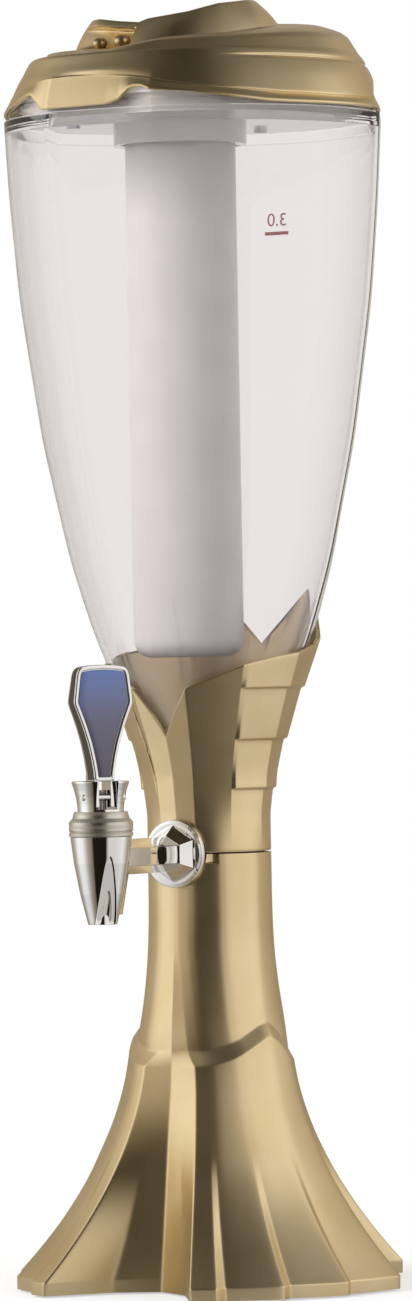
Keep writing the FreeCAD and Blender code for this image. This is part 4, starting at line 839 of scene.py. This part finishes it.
def chrome(name="bright_chrome_plate"):
    """Decorative chrome on polished brass: nearly a mirror, neutral, softened by a few faint hairlines."""
    material, tree = new_material(name)
    place = add(tree, "TexCoord")
    wear = add(tree, "TexNoise", [("Vector", place.outputs["Object"])], Scale=220.0, Detail=6.0)
    dull = add(tree, "MapRange", [("Value", wear.outputs["Fac"])], To_Min=0.03, To_Max=0.07)
    bump = add(tree, "Bump", [("Height", wear.outputs["Fac"])], Strength=0.008, Distance=0.0002)
    shader = add(tree, "BsdfPrincipled", [("Roughness", dull), ("Normal", bump)],
                 Base_Color=linear("#f2f0ee"), Metallic=1.0)
    return finish_material(material, shader)


def on_tap(grid, angle=LEVER_TURN):
    """A grid drawn at the origin and facing -Y, turned to the lever's way and moved onto the tap."""
    turn = math.radians(angle)
    spin = np.array([[math.cos(turn), math.sin(turn), 0], [-math.sin(turn), math.cos(turn), 0], [0, 0, 1]])
    return shifted(grid @ spin, y=TAP_Y)


def along_y(profile, z, columns=96):
    """A profile of (radius, y) carried round a line along Y at height z."""
    turn = np.radians(np.arange(columns) * 360.0 / columns)[None, :]
    radius, y = profile[:, :1], profile[:, 1:2]
    return np.stack([radius * np.cos(turn), y + 0 * turn, z - radius * np.sin(turn)], axis=-1) / 1000.0


WEB_START = 6.2             # the web and the bar start inside the wall of the body's hollow chamber
CHROME = chrome()
shape = rounded([(4.5, 182.0), (4.5, BODY_LOW_Z), (6.4, BODY_LOW_Z), (9.6, 179.5), (12.2, 193.0),
                 (13.6, BODY_HIGH_Z), (12.3, BODY_HIGH_Z), (12.3, 209.0), (5.5, 209.0), (5.5, 182.0),
                 (4.5, 182.0)], 0.6)
spout_z = np.linspace(166.7, 204.0, 110)
body_turn = np.unique(np.concatenate([np.arange(-180.0, 180.0, 3.0), np.arange(-48.0, 48.5, 1.0)]))
cut = np.flatnonzero((shape[:, 0] >= 6.4) & (shape[:, 1] > 166.7))[0]
end = np.flatnonzero((shape[:, 0] > 13.0) & (shape[:, 1] > 203.6))[0]
cone = np.column_stack([np.interp(spout_z, BODY_CONE[:, 0], BODY_CONE[:, 1]), spout_z])
profile = np.vstack([shape[:cut], cone, shape[end:]])
radius, z = profile[:, :1] + 0 * body_turn[None, :], profile[:, 1:2] + 0 * body_turn[None, :]
lean = np.cos(np.radians(body_turn))[None, :]
across = radius * np.sin(np.radians(body_turn))[None, :]
# only the cone's front is cut, not its lower edge or the outlet's bore
front = (z > 166.2) & (z < 196.5) & (radius > 6.2) & (np.abs(body_turn)[None, :] < 60)
for half_width, tip, base in ARCHES:
    arch_half = half_width * np.sqrt(np.clip((tip - z) / base, 0, 1))
    inside_arch = np.clip((arch_half - np.abs(across)) / ARCH_EDGE, 0, 1) * front
    plane = np.sqrt(np.maximum(radius ** 2 - arch_half ** 2, 1.0)) - ARCH_SUNK
    radius = radius + (np.minimum(plane / np.maximum(lean, 0.3), radius) - radius) * inside_arch
body_grid = on_tap(polar(radius, body_turn[None, :], z))
web_z = np.linspace(170.0, 195.0, 24)[:, None]
web_reach = np.interp(web_z, (170.0, 190.0, 195.0), (12.5, 19.5, 19.5))
web_turn = np.linspace(0.0, 2 * math.pi, 40, endpoint=False)[None, :]
web_x = WEB_HALF * np.sign(np.cos(web_turn)) * np.abs(np.cos(web_turn)) ** 0.6
behind = np.where(np.sin(web_turn) > 0, np.abs(np.sin(web_turn)) ** 0.5, 0.0)
web_y = np.maximum(web_reach * behind, WEB_START)
web = np.stack([web_x + 0 * web_z, web_y, web_z + 0 * web_turn], axis=-1) / 1000.0
web = shifted(capped(web), y=TAP_Y)
corners = np.radians(np.array([-30.0, 30.0, 90.0, 150.0, 210.0, 270.0, 330.0]))
hexagon = rounded(HEX_R * np.column_stack([np.cos(corners), -np.sin(corners)]), HEX_EDGE, 3)[:-1]
bar_y = np.array([TAP_Y + WEB_START, -34.6, -34.3, -34.1, -34.1])[:, None]
bar_size = np.array([1.0, 1.0, 0.98, 0.94, 0.0])[:, None]
hex_bar = np.stack([hexagon[None, :, 0] * bar_size, bar_y + 0 * hexagon[None, :, 0],
                    PARTING_Z + hexagon[None, :, 1] * bar_size], axis=-1) / 1000.0
shank = along_y(rounded([(0.0, -32.4), (7.8, -32.4), (7.9, -28.5), (6.0, -28.4), (6.0, -8.6), (5.4, -8.2),
                         (4.0, -8.2), (4.0, -20.0), (0.0, -20.0)], 0.4), PARTING_Z)
tap_body = surface("tap_casting", CHROME, body_grid, web, hex_bar, shank, sharp=35.0)
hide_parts("tap_body")
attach(tap_body, "tower")

# the flange's profile: (radius, y, how far that row is six-sided)
flange_rows = rounded([(7.95, -28.4, 0.0), (15.3, -28.4, 0.0), (15.3, -29.8, 0.0), (14.9, -30.4, 0.0),
                       (13.6, -30.7, 0.0), (12.7, -30.75, 0.4), (12.3, -31.1, 1.0), (8.3, -36.6, 1.0),
                       (7.0, -36.7, 1.0)], 0.4, 2)
round_y = np.arange(0.0, 360.0, 2.0)
six = math.cos(math.radians(30.0)) / np.cos(np.radians(round_y % 60.0 - 30.0))
SIX_DEEPER = 1.06           # the sides are cut a little deeper than a true hexagon's
six_r = flange_rows[:, :1] * (1 + flange_rows[:, 2:] * SIX_DEEPER * (six[None, :] - 1))
turn = np.radians(round_y)[None, :]
flange_grid = np.stack([six_r * np.sin(turn), flange_rows[:, 1:2] + 0 * turn,
                        PARTING_Z + six_r * np.cos(turn)], axis=-1) / 1000.0
tap_flange = surface("tap_flange_ring", CHROME, np.concatenate([flange_grid, flange_grid[:1]])[:, ::-1],
                     sharp=35.0)
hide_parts("tap_flange")
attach(tap_flange, "tower")

SATIN_NICKEL = turned_metal("satin_nickel_plate", "#dad4c9", 0.42, 0.5)
ring_profile = rounded([(12.45, 204.8), (14.1, 204.8), (14.1, 206.2), (13.6, 206.7), (14.1, 207.3),
                        (14.1, 211.0), (13.1, 212.2), (12.6, 212.6), (11.8, 215.6), (10.25, 215.6),
                        (10.25, 211.7), (12.45, 211.7), (12.45, 204.8)], 0.35)
ring_nut = surface("ring_nut_turned", SATIN_NICKEL, shifted(turned(ring_profile, 120), y=TAP_Y), sharp=35.0)
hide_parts("ring_nut")
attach(ring_nut, "tower")

STEEL = turned_metal("stainless_steel", "#b9b8b4", 0.28, 0.3)
dress(STEEL, "shank_washer", "shank_nut", "valve_stem", "stem_pin", "gland_ring")
dress(CHROME, "pivot_pin")

# The return spring is wound from stainless wire.  It sits on the stem's collar under the seal. The real one
# shortens as the stem rises; this coil is one fixed length, held to the stem.
SPRING_R, SPRING_WIRE, SPRING_TURNS, SPRING_LOW, SPRING_HIGH = 3.7, 0.45, 5, 190.45, 203.55
COIL_STEPS = 240
wind = 2 * math.pi * SPRING_TURNS * np.linspace(0.0, 1.0, COIL_STEPS)[:, None]
round_wire = np.arange(12)[None, :] * math.pi / 6
thick = np.full((COIL_STEPS, 1), SPRING_WIRE)
thick[[0, -1]] = 0.0
reach = SPRING_R + thick * np.cos(round_wire)
coil_z = SPRING_LOW + (SPRING_HIGH - SPRING_LOW) * wind / wind[-1] - thick * np.sin(round_wire)
coil = np.stack([reach * np.cos(wind), reach * np.sin(wind), coil_z], axis=-1) / 1000.0
spring = surface("return_spring_coil", STEEL, shifted(coil, y=TAP_Y), sharp=80.0)
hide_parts("return_spring")
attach(spring, "stem")
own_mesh(spring)


# ---------------------------------------------------------------- crown
# The crown is a chromed cap nut's insert that carries the lever: a flared ring, slotted across for
# the lever's foot and drilled for the pivot pin.  The ring nut below holds it down on the body.
SLOT_HALF, CROWN_R, CROWN_LOW_Z, SLOT_FLOOR_Z = 4.8, 10.2, 211.8, 216.6
cheek = rounded([(SLOT_HALF, CROWN_LOW_Z), (CROWN_R, CROWN_LOW_Z), (CROWN_R, 216.6), (10.4, 219.0),
                 (10.9, 222.0), (11.6, 225.0), (12.3, 227.2), (12.7, 228.3), (12.5, 229.0), (11.4, 228.9),
                 (10.4, 228.4), (SLOT_HALF, 228.4)], 0.3)
cheek_r, cheek_z = np.maximum(cheek[:, :1], SLOT_HALF), cheek[:, 1:2]
from_slot = np.degrees(np.arcsin(SLOT_HALF / cheek_r))
sweep = from_slot + (180.0 - 2 * from_slot) * np.linspace(0.0, 1.0, 48)[None, :]
crown_base = rounded([(5.0, CROWN_LOW_Z), (CROWN_R, CROWN_LOW_Z), (CROWN_R, SLOT_FLOOR_Z),
                      (5.0, SLOT_FLOOR_Z), (5.0, CROWN_LOW_Z)], 0.2)
crown = surface("crown_turned", CHROME, on_tap(polar(cheek_r, sweep, cheek_z)),
                on_tap(polar(cheek_r, sweep + 180.0, cheek_z)), on_tap(turned(crown_base)), sharp=35.0)
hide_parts("crown")
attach(crown, "bonnet")


# ---------------------------------------------------------------- lever
# The lever is a bright plated ABS moulding, forked at its foot over the stem, with a black sheet on each
# plated side as a painted dark reflection; a domed plate with a blue to grey fade fills its face inside a
# raised bright border.
FACE_OUTLINE = np.array(((4.6, 229.0), (4.7, 232.5), (5.8, 239.0), (7.4, 246.0), (9.9, 254.0),
                         (13.5, 263.5), (11.9, 276.6), (10.5, 279.0), (6.2, 279.7),
                         (0.0, 280.0)))         # (half width, z)
LEVER_DEPTH = np.array(((234.0, 14.0), (258.0, 12.0), (280.0, 9.0)))    # (z, depth)
FACE_Y, BADGE_INSET, FORK_GAP_HALF, FORK_HALF = -7.0, 2.1, 2.7, 4.5
FORK_BACK, FORK_FRONT, FORK_LOW_Z, FORK_HIGH_Z = 7.0, -6.9, 217.5, 231.5
FORK_MIDDLE_Z = (FORK_LOW_Z + FORK_HIGH_Z) / 2


def outline_ring(outline, inset, count=200):
    """A closed outline of (half width, z), both sides, moved inwards, at even shares of its length."""
    right_side = np.asarray(outline, dtype=float)
    ring = np.vstack([right_side, right_side[-2::-1] * [-1, 1], right_side[:1]])
    step = np.linalg.norm(np.diff(ring, axis=0), axis=1)
    length = np.concatenate([[0.0], np.cumsum(step)])
    at_share = np.linspace(0.0, length[-1], count, endpoint=False)
    points = np.column_stack([np.interp(at_share, length, ring[:, k]) for k in (0, 1)])
    for _ in range(4):
        points = (np.roll(points, 1, axis=0) + 2 * points + np.roll(points, -1, axis=0)) / 4
    tangent = np.roll(points, -1, axis=0) - np.roll(points, 1, axis=0)
    tangent /= np.linalg.norm(tangent, axis=1, keepdims=True)
    return points + inset * np.column_stack([-tangent[:, 1], tangent[:, 0]])


def on_lever(rows):
    """Rings of the face's outline, from the lever's back to its front.

    Each row is (share of the width, inset, depth behind the face, share of the lever's own depth),
    where that own depth is 14 mm at the foot and 9 mm at the top.
    """
    rings = []
    for wide, inset, behind, share in rows:
        ring = outline_ring(FACE_OUTLINE, inset)
        deep = np.interp(ring[:, 1], LEVER_DEPTH[:, 0], LEVER_DEPTH[:, 1])
        rings.append(np.column_stack([ring[:, 0] * wide, FACE_Y + behind + share * deep, ring[:, 1]]))
    return on_tap(np.array(rings) / 1000.0)


blade = on_lever([(0, 0.9, 0, 1), (0.5, 0.9, 0, 1), (1, 0.9, 0, 1), (1, 0.5, -0.1, 1), (1, 0.25, -0.5, 1),
                  (1, 0.2, -1.0, 1), (1, 0, 0, 0.5), (1, 0, 1.2, 0), (1, 0.05, 0.35, 0), (1, 0.18, 0.1, 0),
                  (1, 0.4, 0.01, 0), (1, 0.9, 0, 0), (1, 1.4, 0.01, 0), (1, 1.64, 0.1, 0), (1, 1.8, 0.35, 0),
                  (1, 1.85, 0.85, 0), (0.5, 1.85, 0.85, 0), (0, 1.85, 0.85, 0)])
side = rounded([(FORK_BACK, FORK_HIGH_Z), (FORK_FRONT, FORK_HIGH_Z), (FORK_FRONT, FORK_LOW_Z),
                (FORK_BACK, FORK_LOW_Z), (FORK_BACK, FORK_HIGH_Z)], 0.8)[:-1]
prongs = []
for low, high in ((-FORK_HALF, -FORK_GAP_HALF), (FORK_GAP_HALF, FORK_HALF)):
    prong = [np.column_stack([x + 0 * side[:, 0], side * share + [0.0, FORK_MIDDLE_Z * (1 - share)]])
             for x, share in ((low, 0.0), (low, 0.985), (low + 0.1, 1.0), (high - 0.1, 1.0), (high, 0.985),
                              (high, 0.0))]
    prongs.append(on_tap(np.array(prong) / 1000.0))
lever = surface("lever_moulding", CHROME, blade, *prongs, sharp=35.0)
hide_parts("lever_handle")
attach(lever, "lever")
# The black sheets on the lever's sides are a painted dark reflection: the sides are bright plate like the
# rest of the lever, and the black stands in for the dark surroundings that they mirror.
PAINTED_REFLECTION_BLACK = plain_plastic("painted_side_reflection_black", "#0b0a0a", 0.14, 0.8, 0.02)
side_reflection_sheet = surface("lever_side_painted_reflection", PAINTED_REFLECTION_BLACK,
                on_lever([(1, -0.1, 0, 0.72), (1, -0.1, 1.7, 0), (1, 0.4, 1.7, 0), (1, 0.4, 0, 0.72),
                          (1, -0.1, 0, 0.72)]))
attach(side_reflection_sheet, "lever")

# The badge: printed aluminium under a clear domed coat, left without any mark.
badge_tone, tree = new_material("lacquered_badge_plate")
place = add(tree, "TexCoord")
apart = add(tree, "SeparateXYZ", [(0, place.outputs["Object"])])
FADE_LOW, FADE_HIGH = 0.230, 0.280
rise = add(tree, "MapRange", [("Value", apart.outputs["Z"])], From_Min=FADE_LOW, From_Max=FADE_HIGH)
fade = set_ramp(add(tree, "ValToRGB", [("Fac", rise)]),
                ((0.0, "#4d4858"), (0.5, "#5d5a70"), (0.72, "#626a92"), (1.0, "#5774ae")))
face = add(tree, "BsdfPrincipled", [("Base Color", fade)], Roughness=0.3, Coat_Weight=0.6,
           Coat_Roughness=0.04)
finish_material(badge_tone, face)
dome = [(0, 0.0, 0.8), (1, 0.0, 0.8), (1, 0.0, 0.5), (1, 0.15, 0.35), (1, 0.5, 0.22), (0.7, 0.5, 0.12),
        (0.4, 0.5, 0.06), (0, 0.5, 0.04)]
badge = surface("badge_dome", badge_tone,
                on_lever([(wide, BADGE_INSET + inset, behind, 0) for wide, inset, behind in dome]))
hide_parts("handle_badge")
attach(badge, "lever")


# ---------------------------------------------------------------- graduation
# A volume mark is screen-printed in red ink on the back of the tank, so it reads from behind.
MARK_AZIMUTH, MARK_LOW_Z, MARK_SIZE, INK_OUT = 186.0, 480.5, 8.6, 0.06
FIGURE_THICK, BAR_THICK = 0.02, 0.04
BAR_WIDTH, BAR_HEIGHT, BAR_DROP = 12.4, 1.6, 2.6


def on_tank_back(flat):
    """Points of (along, up, out) in millimetres laid on the tank's outside round the mark's place."""
    z = MARK_LOW_Z + flat[:, 1]
    radius = tank_radius(z) + INK_OUT
    return polar(radius + flat[:, 2], MARK_AZIMUTH + np.degrees(flat[:, 0] / radius), z)


red_ink, tree = new_material("red_screen_ink")
place = add(tree, "TexCoord")
speckle = add(tree, "TexNoise", [("Vector", place.outputs["Object"])], Scale=1500.0, Detail=2.0)
tone = set_ramp(add(tree, "ValToRGB", [("Fac", speckle.outputs["Fac"])]),
                ((0.3, "#e0323c"), (0.7, "#ee4b52")))
ink = add(tree, "BsdfPrincipled", [("Base Color", tone)], Roughness=0.5)
finish_material(red_ink, ink)
figures = bpy.data.curves.new("figures", "FONT")
figures.body, figures.size, figures.align_x, figures.extrude = "3.0", MARK_SIZE, "CENTER", FIGURE_THICK
template = bpy.data.objects.new("figures", figures)
bpy.context.scene.collection.objects.link(template)
bpy.context.view_layer.update()
printed = bpy.data.meshes.new_from_object(template.evaluated_get(bpy.context.evaluated_depsgraph_get()))
bpy.data.objects.remove(template)
flat = np.empty(len(printed.vertices) * 3)
printed.vertices.foreach_get("co", flat)
printed.vertices.foreach_set("co", on_tank_back(flat.reshape(-1, 3)).ravel())
printed.materials.clear()
printed.materials.append(red_ink)
mark = bpy.data.objects.new("volume_figures", printed)
bpy.context.scene.collection.objects.link(mark)
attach(mark, "tower")
low, high = -BAR_DROP - BAR_HEIGHT, -BAR_DROP
section = ((low, 0.0), (high, 0.0), (high, BAR_THICK), (low, BAR_THICK))
bar = capped(np.array([[(BAR_WIDTH * along, rise, out) for rise, out in section]
                       for along in np.linspace(-0.5, 0.5, 13)]))
underline = surface("volume_bar", red_ink, on_tank_back(bar.reshape(-1, 3)).reshape(bar.shape))
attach(underline, "tower")
